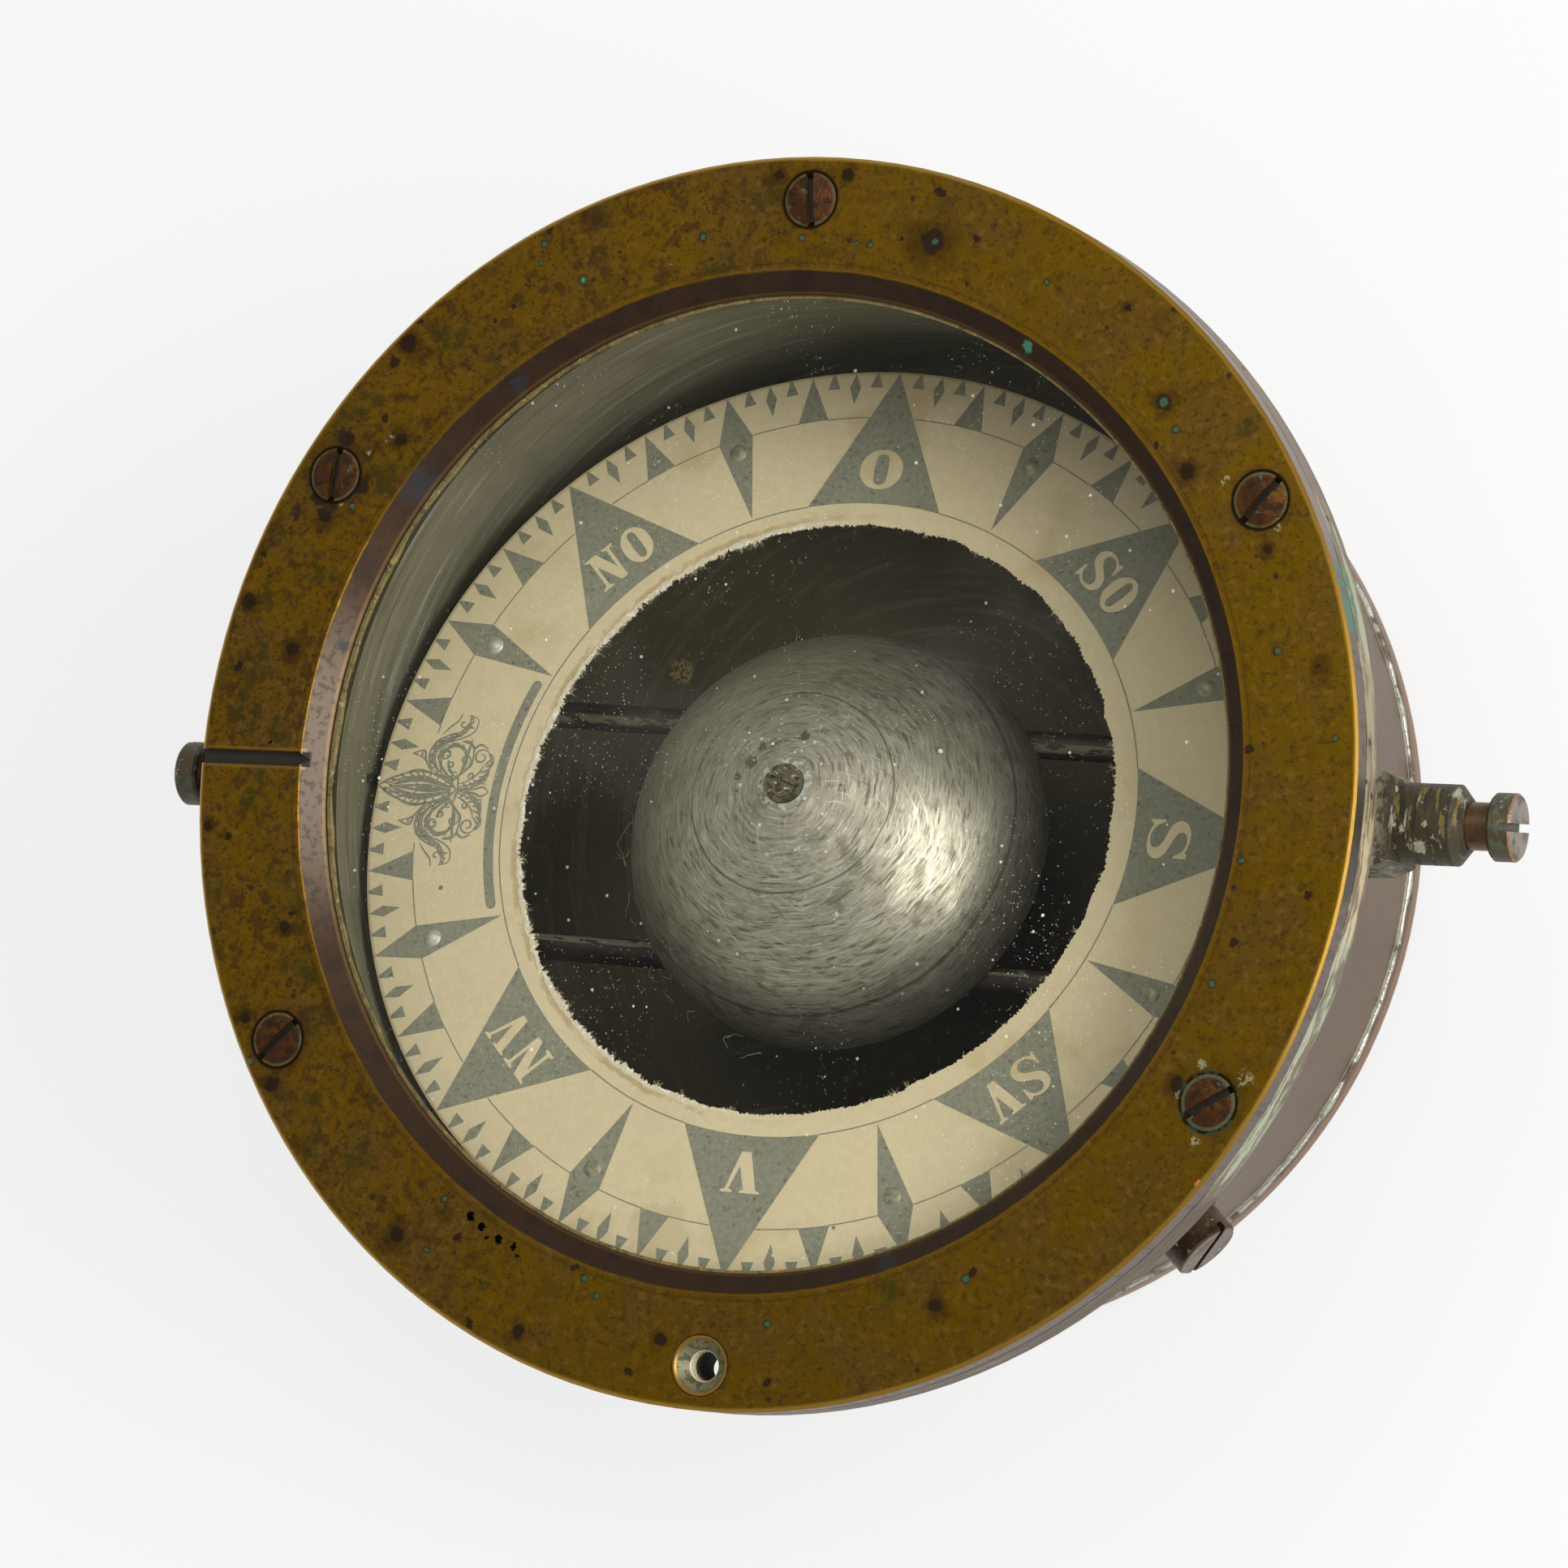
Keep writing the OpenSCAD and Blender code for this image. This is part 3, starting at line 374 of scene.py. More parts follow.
# Bowl flange. The flat brass ring brazed to the top of the wall, to which the bezel is screwed. Its
# edge is eaten cream and whitish green, because the sweat of the joint above runs down on it.
flange = Finish("flange_brass", (122, 106, 82), 0.45, 0.5)
flange_runs = flange.streaks(flange.angle / 5, 0.0, flange.z / 0.0013, 5, 3)
flange_fine = flange.streaks(flange.angle / 1.2, 0.0, flange.z / 0.002, 4, 7)
flange.shade(flange_fine, 0.8, 1.18)
flange.cover(flange.smooth(flange_runs, 0.46, 0.62) * 0.7, (96, 80, 62), 0.5)
flange_turn = flange.angle + (flange.noise(0.01, 3, 9) - 0.5) * 16
flange_crust = flange.smooth(flange_runs + (flange_fine - 0.5) * 0.25, 0.4, 0.58)
for first, last, share, colour in [(-75, -40, 0.5, (104, 98, 74)), (-38, -10, 1.0, (186, 192, 164)),
                                   (-11, -4, 1.0, (212, 194, 150)), (-3, 14, 0.6, (196, 184, 146)),
                                   (14, 25, 0.95, (176, 180, 146)), (25, 60, 0.5, (150, 136, 116)),
                                   (100, 150, 0.5, (160, 160, 136)),
                                   (-170, -120, 0.5, (150, 150, 124))]:
    flange.cover(flange.band(flange_turn, first, last, 3) * flange_crust * share,
                 colour, 0.6, 0.15, 0.00004)
flange.cover(flange.band(flange_turn, 15, 22, 2) * flange.smooth(flange.z, 0.0762, 0.0772)
             * flange.smooth(flange_fine, 0.35, 0.55), (84, 124, 104), 0.65, 0.1)
flange.cover(flange.smooth(flange.z, 0.0745, 0.0735) * 0.8, (104, 86, 74), 0.5)
flange.cover(flange.band(flange_turn, -120, -42, 8) * flange.smooth(flange_runs, 0.3, 0.5) * 0.7,
             (86, 70, 50), 0.5)
flange.cover(flange.specks(0.0026, 0.2, 6), (66, 56, 44), 0.7, 0.1)
flange.cover(flange.smooth(flange.radius, 0.0812, 0.0806), (58, 56, 44), 0.55, 0.3)
empty_hole = (-0.000636, -0.091098, 0)
flange_hole = flange.vector("DISTANCE", flange.flat, empty_hole, "Value")
# Near black inside the empty screw hole: painted shade in the hole.
flange.cover(flange.smooth(flange_hole, 0.00225, 0.0021), (18, 14, 10), 0.9, 0.0)
flange.relief(flange.noise(0.0014, 5), 0.0001).relief(flange_runs, 0.0001)
flange.dress(part["bowl_flange"])


# Pivot bosses. Two brass castings soldered to the wall, saddle and barrel in one, that carry the
# pivot screws. Salt has turned them olive black, with mustard and grey streaks and drops of solder.
boss = Finish("boss_brass", (66, 58, 38), 0.55, 0.3)
boss_streaks = boss.place(boss.x / 0.0013, boss.y / 0.006, boss.z / 0.006)
boss.shade(boss.noise(0.004, 5, 7), 0.7, 1.25)
boss.cover(boss.patches(1, 0.5, 0.6, 5, 1, boss_streaks) * 0.8, (46, 40, 28), 0.65)
boss.cover(boss.patches(1, 0.57, 0.64, 5, 2, boss_streaks) * 0.8, (126, 110, 50), 0.6, 0.2)
boss.cover(boss.patches(1, 0.6, 0.68, 5, 3, boss_streaks), (156, 156, 136), 0.75, 0.05, 0.00008)
boss.cover(boss.patches(0.002, 0.6, 0.68, 5, 5) * 0.9, (170, 168, 148), 0.8, 0.0, 0.00012)
boss_root = boss.smooth(boss.x.maths("ABSOLUTE"), 0.0966, 0.0935)
boss.cover(boss_root * boss.patches(0.0022, 0.42, 0.56, 5, 6) * 0.8,
           (150, 144, 116), 0.7, 0.1, 0.0002)
for drop, size in [((0.1012, -0.0042, 0.0612), 0.0016), ((0.0985, -0.0015, 0.0622), 0.0008),
                   ((-0.1012, 0.0042, 0.0612), 0.0012)]:
    boss.cover(boss.near(drop, size, 0.9) * boss.patches(0.0009, 0.36, 0.5, seed=8),
               (176, 170, 146), 0.6, 0.2, 0.0004)
boss.relief(boss.noise(0.0012, 6), 0.00025)
boss.dress(part["fore_boss"], part["aft_boss"])


# Pivot screws. Turned brass with a journal for the gimbal ring and a slotted head, brown on the
# journal, grey green on the head, with bright worn edges.
pivot_height = 0.0564
pivot = Finish("pivot_brass", (92, 70, 48), 0.38, 0.75)
pivot_lathe = pivot.streaks(pivot.x / 0.0004, pivot.y / 0.006, pivot.z / 0.006, 3, 1)
pivot.shade(pivot_lathe, 0.85, 1.15)
pivot.cover(pivot.patches(0.002, 0.52, 0.66, seed=4) * 0.7, (60, 44, 32), 0.5)
pivot_out = pivot.x.maths("ABSOLUTE")
pivot_head = pivot.smooth(pivot_out, 0.1111, 0.1114)
pivot.cover(pivot_head * 0.7, (84, 78, 58), 0.5, 0.5)
pivot.cover(pivot_head * pivot.patches(0.002, 0.48, 0.62), (78, 90, 70), 0.6, 0.2, 0.00005)
pivot.cover(pivot_head * pivot.patches(0.0012, 0.6, 0.7, seed=3),
            (150, 156, 138), 0.8, 0.0, 0.00005)
pivot_end = pivot.smooth(pivot_out, 0.11495, 0.11505)
pivot.cover(pivot_end * pivot.patches(0.003, 0.36, 0.56, seed=6), (140, 130, 118), 0.42, 0.6)
pivot_off = pivot.vector("LENGTH", pivot.place(0.0, pivot.y, pivot.z - pivot_height),
                         output="Value")
pivot.cover(pivot_head * pivot.smooth(pivot_off, 0.0048, 0.00515)
            * pivot.smooth(pivot_out, 0.1147, 0.1149), (176, 134, 88), 0.35, 0.95)
pivot.relief(pivot_lathe, 0.000015).relief(pivot.noise(0.0008, 4), 0.00004)
pivot.dress(part["fore_pivot"], part["aft_pivot"])


# Filler boss and plug. A short brass tube soldered into the wall, a leather washer and a slotted
# plug: here the bowl is filled. All is dark brown, with lumps of solder left at the root.
plug_way = Vector((math.cos(math.radians(-43.5)), math.sin(math.radians(-43.5)), 0))
plug = Finish("plug_brass", (82, 62, 44), 0.42, 0.7)
plug_out = plug.vector("DOT_PRODUCT", plug.at, plug_way, "Value")
plug.cover(plug.patches(0.003, 0.46, 0.62), (54, 40, 30), 0.5)
plug.cover(plug.patches(0.0016, 0.56, 0.66, seed=5) * 0.8, (108, 92, 58), 0.45)
plug_face = plug.smooth(plug_out, 0.09725, 0.09735)
plug.cover(plug_face * plug.patches(0.004, 0.34, 0.6, seed=7), (118, 104, 90), 0.4, 0.65)
plug.cover(plug.patches(0.0012, 0.64, 0.7, seed=3), (180, 176, 152), 0.6, 0.3, 0.00006)
plug.relief(plug.noise(0.0009, 4), 0.00004)
plug.dress(part["filler_plug"])

barrel = Finish("filler_brass", (80, 62, 44), 0.5, 0.6)
barrel.cover(barrel.patches(0.003, 0.46, 0.62), (50, 38, 28), 0.55)
barrel.cover(barrel.patches(0.0016, 0.6, 0.68, seed=2) * 0.7, (150, 144, 116), 0.6, 0.3, 0.00005)
for lump, size in [((0.0631, -0.0538, 0.0632), 0.0042), ((0.0601, -0.0568, 0.0636), 0.0026)]:
    barrel.cover(barrel.near(lump, size, 0.8) * barrel.patches(0.0018, 0.4, 0.5, seed=4),
                 (204, 198, 172), 0.6, 0.3, 0.0004)
barrel.relief(barrel.noise(0.001, 5), 0.0001)
barrel.dress(part["filler_boss"])

washer = Finish("washer", (70, 50, 34), 0.8, 0.0)
washer.cover(washer.patches(0.001, 0.5, 0.65), (40, 30, 22), 0.85)
washer.relief(washer.noise(0.0006, 4), 0.00005)
washer.dress(part["plug_washer"])


# Stem and pivot point. A turned brass pillar screwed to the floor by its foot, with a hardened
# steel point on which the card's jewel rests.
old_brass("stem_brass", (146, 118, 66), (96, 74, 44)).dress(
    part["stem_base"], part["stem_screws"], part["pivot_stem"])

steel = Finish("hard_steel", (150, 150, 152), 0.25, 1.0)
steel.cover(steel.patches(0.0015, 0.55, 0.7), (96, 84, 74), 0.45, 0.7)
steel.relief(steel.noise(0.0003, 3), 0.000005)
steel.dress(part["pivot_point"], part["north_magnet"], part["south_magnet"])

jewel = Finish("jewel", (120, 22, 34), 0.12, 0.0)
jewel.cover(jewel.patches(0.001, 0.5, 0.7), (84, 12, 24), 0.2)
jewel.dress(part["jewel_cup"], coat_weight=0.5)


# Float. Two tinned brass bowls soldered together, dome above and well below, so that the card
# weighs almost nothing in the liquid. The dome is grey, scratched in circles and dusty.
lean, turn = math.radians(79), math.radians(-0.9)
card_edge_out, card_edge_drop, card_gap = 0.0764, 0.0122, 0.0057
tip = (math.atan2(card_edge_drop, card_edge_out)
       + math.asin(card_gap / math.hypot(card_edge_out, card_edge_drop)))
card_pose = (Matrix.Translation((0, 0, 0.0705))
             @ Matrix.Rotation(tip, 4, (-math.sin(lean), math.cos(lean), 0))
             @ Matrix.Rotation(turn, 4, "Z"))

dome = Finish("float_metal", (172, 165, 152), 0.42, 0.8, card_pose)
dome_path = dome.radius - dome.z * 0.9 + (dome.noise(0.011, 3, 12) - 0.5) * 0.0034
dome_arcs = dome.streaks(dome.x / 0.0032, dome.y / 0.0032, dome_path / 0.00055, 5, 1)
dome_fine = dome.streaks(dome.x / 0.005, dome.y / 0.005, dome_path / 0.00018, 3, 2)
dome_broad = dome.streaks(dome.x / 0.006, dome.y / 0.006, dome_path / 0.0028, 5, 4)
dome.shade(dome_broad, 0.66, 1.3).shade(dome.noise(0.0022, 6, 6), 0.7, 1.28)
dome.cover(dome.smooth(dome_arcs, 0.54, 0.64) * 0.75, (96, 90, 75), 0.5)
dome.cover(dome.smooth(dome_arcs, 0.44, 0.36) * 0.55, (216, 212, 196), 0.3)
dome.cover(dome.smooth(dome_fine, 0.6, 0.67) * 0.7, (228, 225, 210), 0.3)
dome.cover(dome.patches(0.005, 0.56, 0.68, seed=5) * 0.55, (108, 103, 92), 0.5)
dome_swirl = dome.vector("LENGTH", dome.place(dome.x - 0.009, dome.y + 0.006, 0.0), output="Value")
dome_swept = dome.streaks(dome.x / 0.006, dome.y / 0.006, dome_swirl / 0.0005, 4, 3)
dome.cover(dome.smooth(dome_swept, 0.6, 0.68) * 0.6, (212, 210, 200), 0.35)
dome.cover(dome.smooth(dome_swept, 0.38, 0.31) * 0.5, (100, 95, 82), 0.5)
dome_top = dome.smooth(dome.radius, 0.016, 0.006)
dome.cover(dome_top * 0.35, (120, 112, 98), 0.55, 0.5)
dome.cover(dome_top * dome.specks(0.0022, 0.4, 11, 0.26) * 0.75, (74, 67, 55), 0.6)
dome.cover(dome_top * dome.specks(0.0016, 0.45, 4, 0.26), (204, 208, 204), 0.8, 0.0)
for groove in (0.0168, 0.0322):
    dome_ring = (dome.radius + (dome.noise(0.02, 2, 7) - 0.5) * 0.0008 - groove).maths("ABSOLUTE")
    dome.cover(dome.smooth(dome_ring, 0.00022, 0.00008) * 0.6, (62, 57, 46), 0.5, height=-0.00003)
dome.cover(dome.specks(0.0028, 0.2, 2, 0.13) * dome.patches(0.01, 0.4, 0.6, seed=9),
           (216, 214, 204), 0.8, 0.0)
for blot, size in [((-0.0065, 0.0035, 0.001), 0.0013), ((-0.0052, 0.0062, 0.001), 0.001),
                   ((-0.0085, 0.001, 0.001), 0.0009), ((0.0015, 0.0085, 0.001), 0.001)]:
    dome.cover(dome.near(blot, size, 0.7) * 0.75, (66, 60, 48), 0.6)
dome_crust = (dome.band(dome.radius, 0.0032, 0.0043, 0.0004)
              * dome.patches(0.0011, 0.47, 0.58, seed=8))
dome.cover(dome_crust * dome.smooth(dome.z, -0.004, -0.002), (178, 184, 178), 0.7, 0.0, 0.00006)
dome.cover(dome.smooth(dome.z, -0.014, -0.027) * 0.6, (110, 105, 90), 0.45)
# Lighter towards the NO side of the dome: painted reflection on its flank.
dome.cover(dome.smooth(dome.x * 0.8 - dome.y * 0.6, 0.0, -0.03) * 0.3, (212, 206, 186), 0.5)
dome.relief(dome_arcs, 0.000035).relief(dome_fine, 0.000015).relief(dome_broad, 0.00002)
dome.dress(part["float_dome"], part["float_well"])

cap = Finish("cap_brass", (104, 96, 78), 0.42, 0.7, card_pose)
cap.cover(cap.patches(0.0012, 0.46, 0.6), (70, 62, 48), 0.5)
cap.cover(cap.patches(0.0009, 0.58, 0.66, seed=3), (176, 170, 150), 0.6, 0.2, 0.00004)
cap.relief(cap.noise(0.0006, 4), 0.00004)
cap.dress(part["cap_screw"], part["cap_ring"])


# Needle tubes and their hangers. Two brass tubes, each with a magnet sealed inside, saddled to the
# float and clipped to the card. Their varnish flakes off grey green along the inner side.
tube = Finish("tube_brass", (50, 42, 34), 0.5, 0.4, card_pose)
tube_flakes = tube.streaks(tube.x / 0.004, tube.y / 0.0012, tube.z / 0.0012, 5, 1)
tube_side = tube.y.maths("ABSOLUTE")
tube.cover(tube.patches(0.01, 0.45, 0.6), (36, 30, 25), 0.55)
tube.cover(tube.smooth(tube_flakes, 0.42, 0.36) * 0.7, (74, 54, 44), 0.5)
tube_line = tube.band(tube_side, 0.0185, 0.0194, 0.0004) * tube.smooth(tube.z, -0.0293, -0.0286)
tube.cover(tube_line * tube.smooth(tube_flakes, 0.4, 0.5), (108, 104, 86), 0.8, 0.0, 0.00006)
tube.cover(tube.smooth(tube_flakes, 0.62, 0.68) * 0.7, (84, 80, 64), 0.8, 0.0, 0.00004)
tube.relief(tube.noise(0.0008, 4), 0.00004)
tube.dress(part["north_needle_tube"], part["south_needle_tube"], part["card_hangers"])


# Card. A ring of stout rag paper, printed from an engraved plate and glued on a thin metal ring,
# with eight rivets. The middle was cut out by hand, and its edge has torn and frayed.
paper_radius = 0.0764
paper_hole = 0.0497
paper_frayed = 0.0515  # the tear begins to show inside this radius
paper_top = -0.0122
paper_thick = 0.00038
paper_steps = 1200     # points round its edges
paper_rings = [paper_radius, 0.0755, 0.07, 0.06, 0.053, paper_frayed, 0.0508, 0.0503, paper_hole]

tear = random.Random(11)
tear_waves = [(tear.randint(3, 60), tear.uniform(0, math.tau), tear.uniform(0.2, 1))
              for _ in range(16)]
tear_nicks = [tear.uniform(-1, 1) ** 3 for _ in range(paper_steps)]


def take(piece):
    """Selects one piece and nothing else, for the operators that follow."""
    bpy.ops.object.select_all(action="DESELECT")
    piece.select_set(True)
    bpy.context.view_layer.objects.active = piece


def new_piece(name, data):
    """Puts drawn lines or faces into the scene as a piece, and turns lines into a mesh."""
    piece = bpy.data.objects.new(name, data)
    bpy.context.scene.collection.objects.link(piece)
    take(piece)
    if piece.type == "CURVE":
        bpy.ops.object.convert(target="MESH")
    return bpy.context.object


def torn_edge(around):
    """How far the torn edge lies outside the cut, at an angle on the card, in metres."""
    slow = sum(s * math.sin(c * around + p) for c, p, s in tear_waves) * 0.00006
    ragged = 1.5 if abs(abs(around) - math.pi) < 1.2 else 0.8
    return slow + tear_nicks[round(around / math.tau * paper_steps) % paper_steps] * 0.0004 * ragged


paper_points, paper_faces = [], []
for out in paper_rings:
    share = max(0.0, min(1.0, (paper_frayed - out) / (paper_frayed - paper_hole)))
    for step in range(paper_steps):
        around = (step / paper_steps - 0.5) * math.tau
        new = out + torn_edge(around) * share ** 2
        here = len(paper_points)
        after = here - step + (step + 1) % paper_steps
        paper_points.append((new * math.cos(around), new * math.sin(around),
                             paper_top - 0.00010 * share ** 2))
        if out != paper_radius:
            paper_faces.append((here - paper_steps, after - paper_steps, after, here))
paper_mesh = bpy.data.meshes.new("paper")
paper_mesh.from_pydata(paper_points, [], paper_faces)
paper = new_piece("paper", paper_mesh)
thick = paper.modifiers.new("thickness", "SOLIDIFY")
thick.thickness = paper_thick
thick.offset = -1
bpy.ops.object.modifier_apply(modifier=thick.name)


def seat_on_card(piece):
    """Brings a piece that was drawn on the flat card to the card's place in the bowl."""
    take(piece)
    piece.matrix_world = card_pose
    bpy.ops.object.transform_apply(location=True, rotation=True, scale=True)
    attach(piece, "card")


seat_on_card(paper)
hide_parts("paper_card")

sheet = Finish("card_paper", (215, 197, 166), 0.85, 0.0, card_pose)
sheet_weave = sheet.streaks(sheet.x / 0.0003, sheet.y / 0.0012, 0.0, 2, 5)
sheet.shade(sheet.noise(0.0013, 5), 0.9, 1.1).shade(sheet.noise(0.02, 3, 2), 0.92, 1.06)
sheet.shade(sheet_weave, 0.93, 1.07)
sheet.cover(sheet.patches(0.016, 0.55, 0.72, seed=3) * 0.6, (192, 170, 128), 0.85)
sheet_in = sheet.radius + (sheet.noise(0.0016, 3, 4) - 0.5) * 0.0014
sheet_north = sheet.smooth(sheet.x, 0.01, -0.02)
torn_tan_and_shadow = sheet.patches(0.004, 0.35, 0.6, seed=9)
# A tan line outside the torn band on the north side: browned paper, and the painted shadow of the
# lifted torn layer.
sheet.cover(sheet_north * torn_tan_and_shadow * sheet.band(sheet_in, 0.0509, 0.0512, 0.0005) * 0.6,
            (166, 134, 88), 0.9)
sheet.cover(sheet_north * sheet.smooth(sheet_in, 0.0508, 0.0505) * 0.7,
            (216, 200, 178), 0.95, height=0.00015)
sheet.cover(sheet_north * sheet.smooth(sheet_in, 0.0504, 0.0501)
            * sheet.patches(0.0009, 0.46, 0.58, seed=8), (234, 226, 218), 0.95, height=0.00006)
sheet.cover(sheet.smooth(sheet.radius, 0.0757, 0.0763) * 0.6, (150, 130, 92), 0.9)
sheet.cover(sheet.specks(0.006, 0.12, 5, 0.04), (132, 108, 78), 0.9)
# Darker towards the SO–S side of the card: painted shadow of the bezel on the paper.
sheet.cover(sheet.smooth(sheet.x * 0.94 + sheet.y * 0.34, 0.035, 0.078) * 0.4, (142, 130, 98), 0.85)
for stain, size in [((0.0, 0.064, paper_top), 0.009), ((-0.012, -0.07, paper_top), 0.006)]:
    sheet.cover(sheet.near(stain, size, 0.8) * 0.3, (168, 146, 104), 0.85)
sheet.relief(sheet.noise(0.0004, 4), 0.00002).relief(sheet_weave, 0.000012)
sheet.dress(paper)

backing = Finish("backing", (120, 108, 84), 0.6, 0.4, card_pose)
backing.cover(backing.patches(0.008, 0.48, 0.62), (88, 76, 58), 0.65)
backing.relief(backing.noise(0.0008, 4), 0.00004)
backing.dress(part["card_backing"])


# Frayed fibres. Threads of the rag paper that stand out of the torn edge, some in tufts, and a few
# hairs that the wiping cloth left round the foot of the dome.
def strands(name, lines, thick):
    """Thin threads, each along a few points, as one piece."""
    curve = bpy.data.curves.new(name, "CURVE")
    curve.dimensions = "3D"
    curve.bevel_depth = thick / 2
    curve.bevel_resolution = 0
    curve.use_fill_caps = True
    for line in lines:
        spline = curve.splines.new("POLY")
        spline.points.add(len(line) - 1)
        for number, (point, spot) in enumerate(zip(spline.points, line)):
            point.co = (*spot, 1)
            point.radius = 1.0 - 0.6 * number / (len(line) - 1)
    piece = new_piece(name, curve)
    seat_on_card(piece)
    return piece


def thread(draw, spot, way, length, curl, steps=4):
    """A curling thread that starts at a spot and goes off that way."""
    line = [Vector(spot)]
    way = Vector(way).normalized()
    for _ in range(steps):
        way = (way + Vector([draw.uniform(-curl, curl) for _ in range(3)])).normalized()
        line.append(line[-1] + way * length / steps)
    return line


fray_count, fray_tuft = 520, 13  # threads, and how many there are for each tuft
hair_count = 46
fray = random.Random(7)
fray_lines = []
for number in range(fray_count):
    tuft = number % fray_tuft == 0
    around = fray.choice([fray.uniform(-3.14, 3.14), fray.uniform(1.9, 4.2)])
    for _ in range(7 if tuft else 1):
        there = around + fray.uniform(-0.008, 0.008)
        out = paper_hole + torn_edge(math.atan2(math.sin(there), math.cos(there))) + 0.0001
        spot = (out * math.cos(there), out * math.sin(there), paper_top - 0.00022)
        skew = there + fray.uniform(-1.1, 1.1)
        way = (-math.cos(skew), -math.sin(skew), fray.uniform(-0.2, 0.35))
        length = fray.uniform(0.0003, 0.0008) * (1.7 if tuft else 1)
        fray_lines.append(thread(fray, spot, way, length, 0.5, 3))
fibres = strands("paper_fibres", fray_lines, 0.00009)

hair_lines = []
for _ in range(hair_count):
    around = fray.gauss(math.radians(172), 0.55)
    out = fray.uniform(0.0345, 0.0372)
    spot = (out * math.cos(around), out * math.sin(around), -0.0263)
    skew = around + fray.choice([-1, 1]) * fray.uniform(0.9, 2.0)
    way = (math.cos(skew), math.sin(skew), fray.uniform(0.0, 0.4))
    hair_lines.append(thread(fray, spot, way, fray.uniform(0.002, 0.005), 0.6, 7))
hairs = strands("hairs", hair_lines, 0.00012)

fibre = Finish("fibre", (206, 194, 166), 0.9, 0.0, card_pose)
fibre.cover(fibre.patches(0.002, 0.45, 0.6), (178, 160, 124))
fibre.dress(fibres)
hair = Finish("hair", (176, 170, 150), 0.8, 0.0, card_pose)
hair.cover(hair.patches(0.003, 0.45, 0.6), (140, 134, 116))
hair.dress(hairs)


# Printing. The points of the compass in grey ink, with the letters left bare: O for ost, S for sud,
# V for vest. Each point is drawn with u across it, clockwise, and v out from the card's middle.
ring_in, ring_mid, ring_out = 0.0534, 0.0684, 0.0762
ring_line = 0.0002
ink_lift = 0.00002
wind_half, point_half, small_half = 12.3, 2.47, 2.15  # half the base of the three kinds, in degrees
tick_foot, tick_waist, diamond_foot = 0.0737, 0.0738, 0.0708


def on_card(bearing, u, v):
    """A point of the card, from a bearing, an offset to the right of it and a radius."""
    way = math.pi - math.radians(bearing)
    return (v * math.cos(way) + u * math.sin(way), v * math.sin(way) - u * math.cos(way))


def polar(bearing, radius):
    return on_card(bearing, 0, radius)


def add_outline(curve, points, corners=None):
    """A closed outline: straight between its points, or smooth except at the corners."""
    if corners is None:
        spline = curve.splines.new("POLY")
        spline.points.add(len(points) - 1)
        for point, (x, y) in zip(spline.points, points):
            point.co = (x, y, 0, 1)
    else:
        spline = curve.splines.new("BEZIER")
        spline.bezier_points.add(len(points) - 1)
        spline.resolution_u = 6
        for index, (point, (x, y)) in enumerate(zip(spline.bezier_points, points)):
            point.co = (x, y, 0)
            kind = "VECTOR" if index in corners else "AUTO"
            point.handle_left_type = point.handle_right_type = kind
    spline.use_cyclic_u = True


def print_piece(name, outlines):
    """Flat ink on the card: outlines inside outlines are left bare."""
    curve = bpy.data.curves.new(name, "CURVE")
    curve.dimensions = "2D"
    curve.fill_mode = "BOTH"
    curve.extrude = ink_lift / 2
    for outline in outlines:
        add_outline(curve, *outline)
    piece = new_piece(name, curve)
    piece.data.transform(Matrix.Translation((0, 0, paper_top + ink_lift)))
    seat_on_card(piece)
    return piece


letters = {
    "N": [([(0.02, 0), (0.36, 0), (0.36, 0.05), (0.25, 0.10), (0.25, 0.68), (0.64, 0), (0.86, 0),
          (0.86, 0.9), (1.0, 0.95), (1.0, 1), (0.62, 1), (0.62, 0.95), (0.75, 0.9),
          (0.75, 0.36), (0.42, 1), (0, 1), (0, 0.95), (0.14, 0.9), (0.14, 0.10),
          (0.02, 0.05)], None)],
    "O": [([(0.5, -0.01), (0.87, 0.15), (1.0, 0.5), (0.87, 0.85), (0.5, 1.01), (0.13, 0.85),
          (0, 0.5), (0.13, 0.15)], ()),
        ([(0.5, 0.1), (0.62, 0.16), (0.65, 0.3), (0.65, 0.7), (0.62, 0.84), (0.5, 0.9),
          (0.38, 0.84), (0.35, 0.7), (0.35, 0.3), (0.38, 0.16)], ())],
    "S": [([(0.86, 0.98), (0.97, 0.98), (0.97, 0.66), (0.91, 0.66), (0.84, 0.8), (0.70, 0.91),
          (0.50, 0.94), (0.34, 0.87), (0.33, 0.75), (0.44, 0.65), (0.68, 0.54), (0.90, 0.42),
          (1.0, 0.25), (0.93, 0.09), (0.76, 0.0), (0.50, -0.02), (0.28, 0.02), (0.14, 0.08),
          (0.08, 0.01), (0.02, 0.01), (0.02, 0.36), (0.08, 0.36), (0.16, 0.2), (0.34, 0.07),
          (0.52, 0.05), (0.69, 0.11), (0.72, 0.22), (0.62, 0.33), (0.40, 0.43), (0.15, 0.54),
          (0.03, 0.72), (0.09, 0.89), (0.25, 0.99), (0.48, 1.02), (0.70, 0.98), (0.82, 0.93)],
        (0, 1, 2, 3, 17, 18, 19, 20, 21, 35))],
    "V": [([(0, 1), (0, 0.95), (0.10, 0.92), (0.38, 0), (0.62, 0), (0.89, 0.92), (1, 0.95),
          (1, 1), (0.70, 1), (0.70, 0.95), (0.79, 0.92), (0.60, 0.36), (0.42, 0.92),
          (0.52, 0.95), (0.52, 1)], None)],
}
letter_foot, letter_height, letter_gap = 0.0560, 0.0067, 0.0007
letter_widths = {"N": 0.0056, "O": 0.0050, "S": 0.0049, "V": 0.0051}
single_widths = {"O": 0.0073, "S": 0.0066, "V": 0.0066}
winds = {45: "NO", 90: "O", 135: "SO", 180: "S", 225: "SV", 270: "V", 315: "NV"}

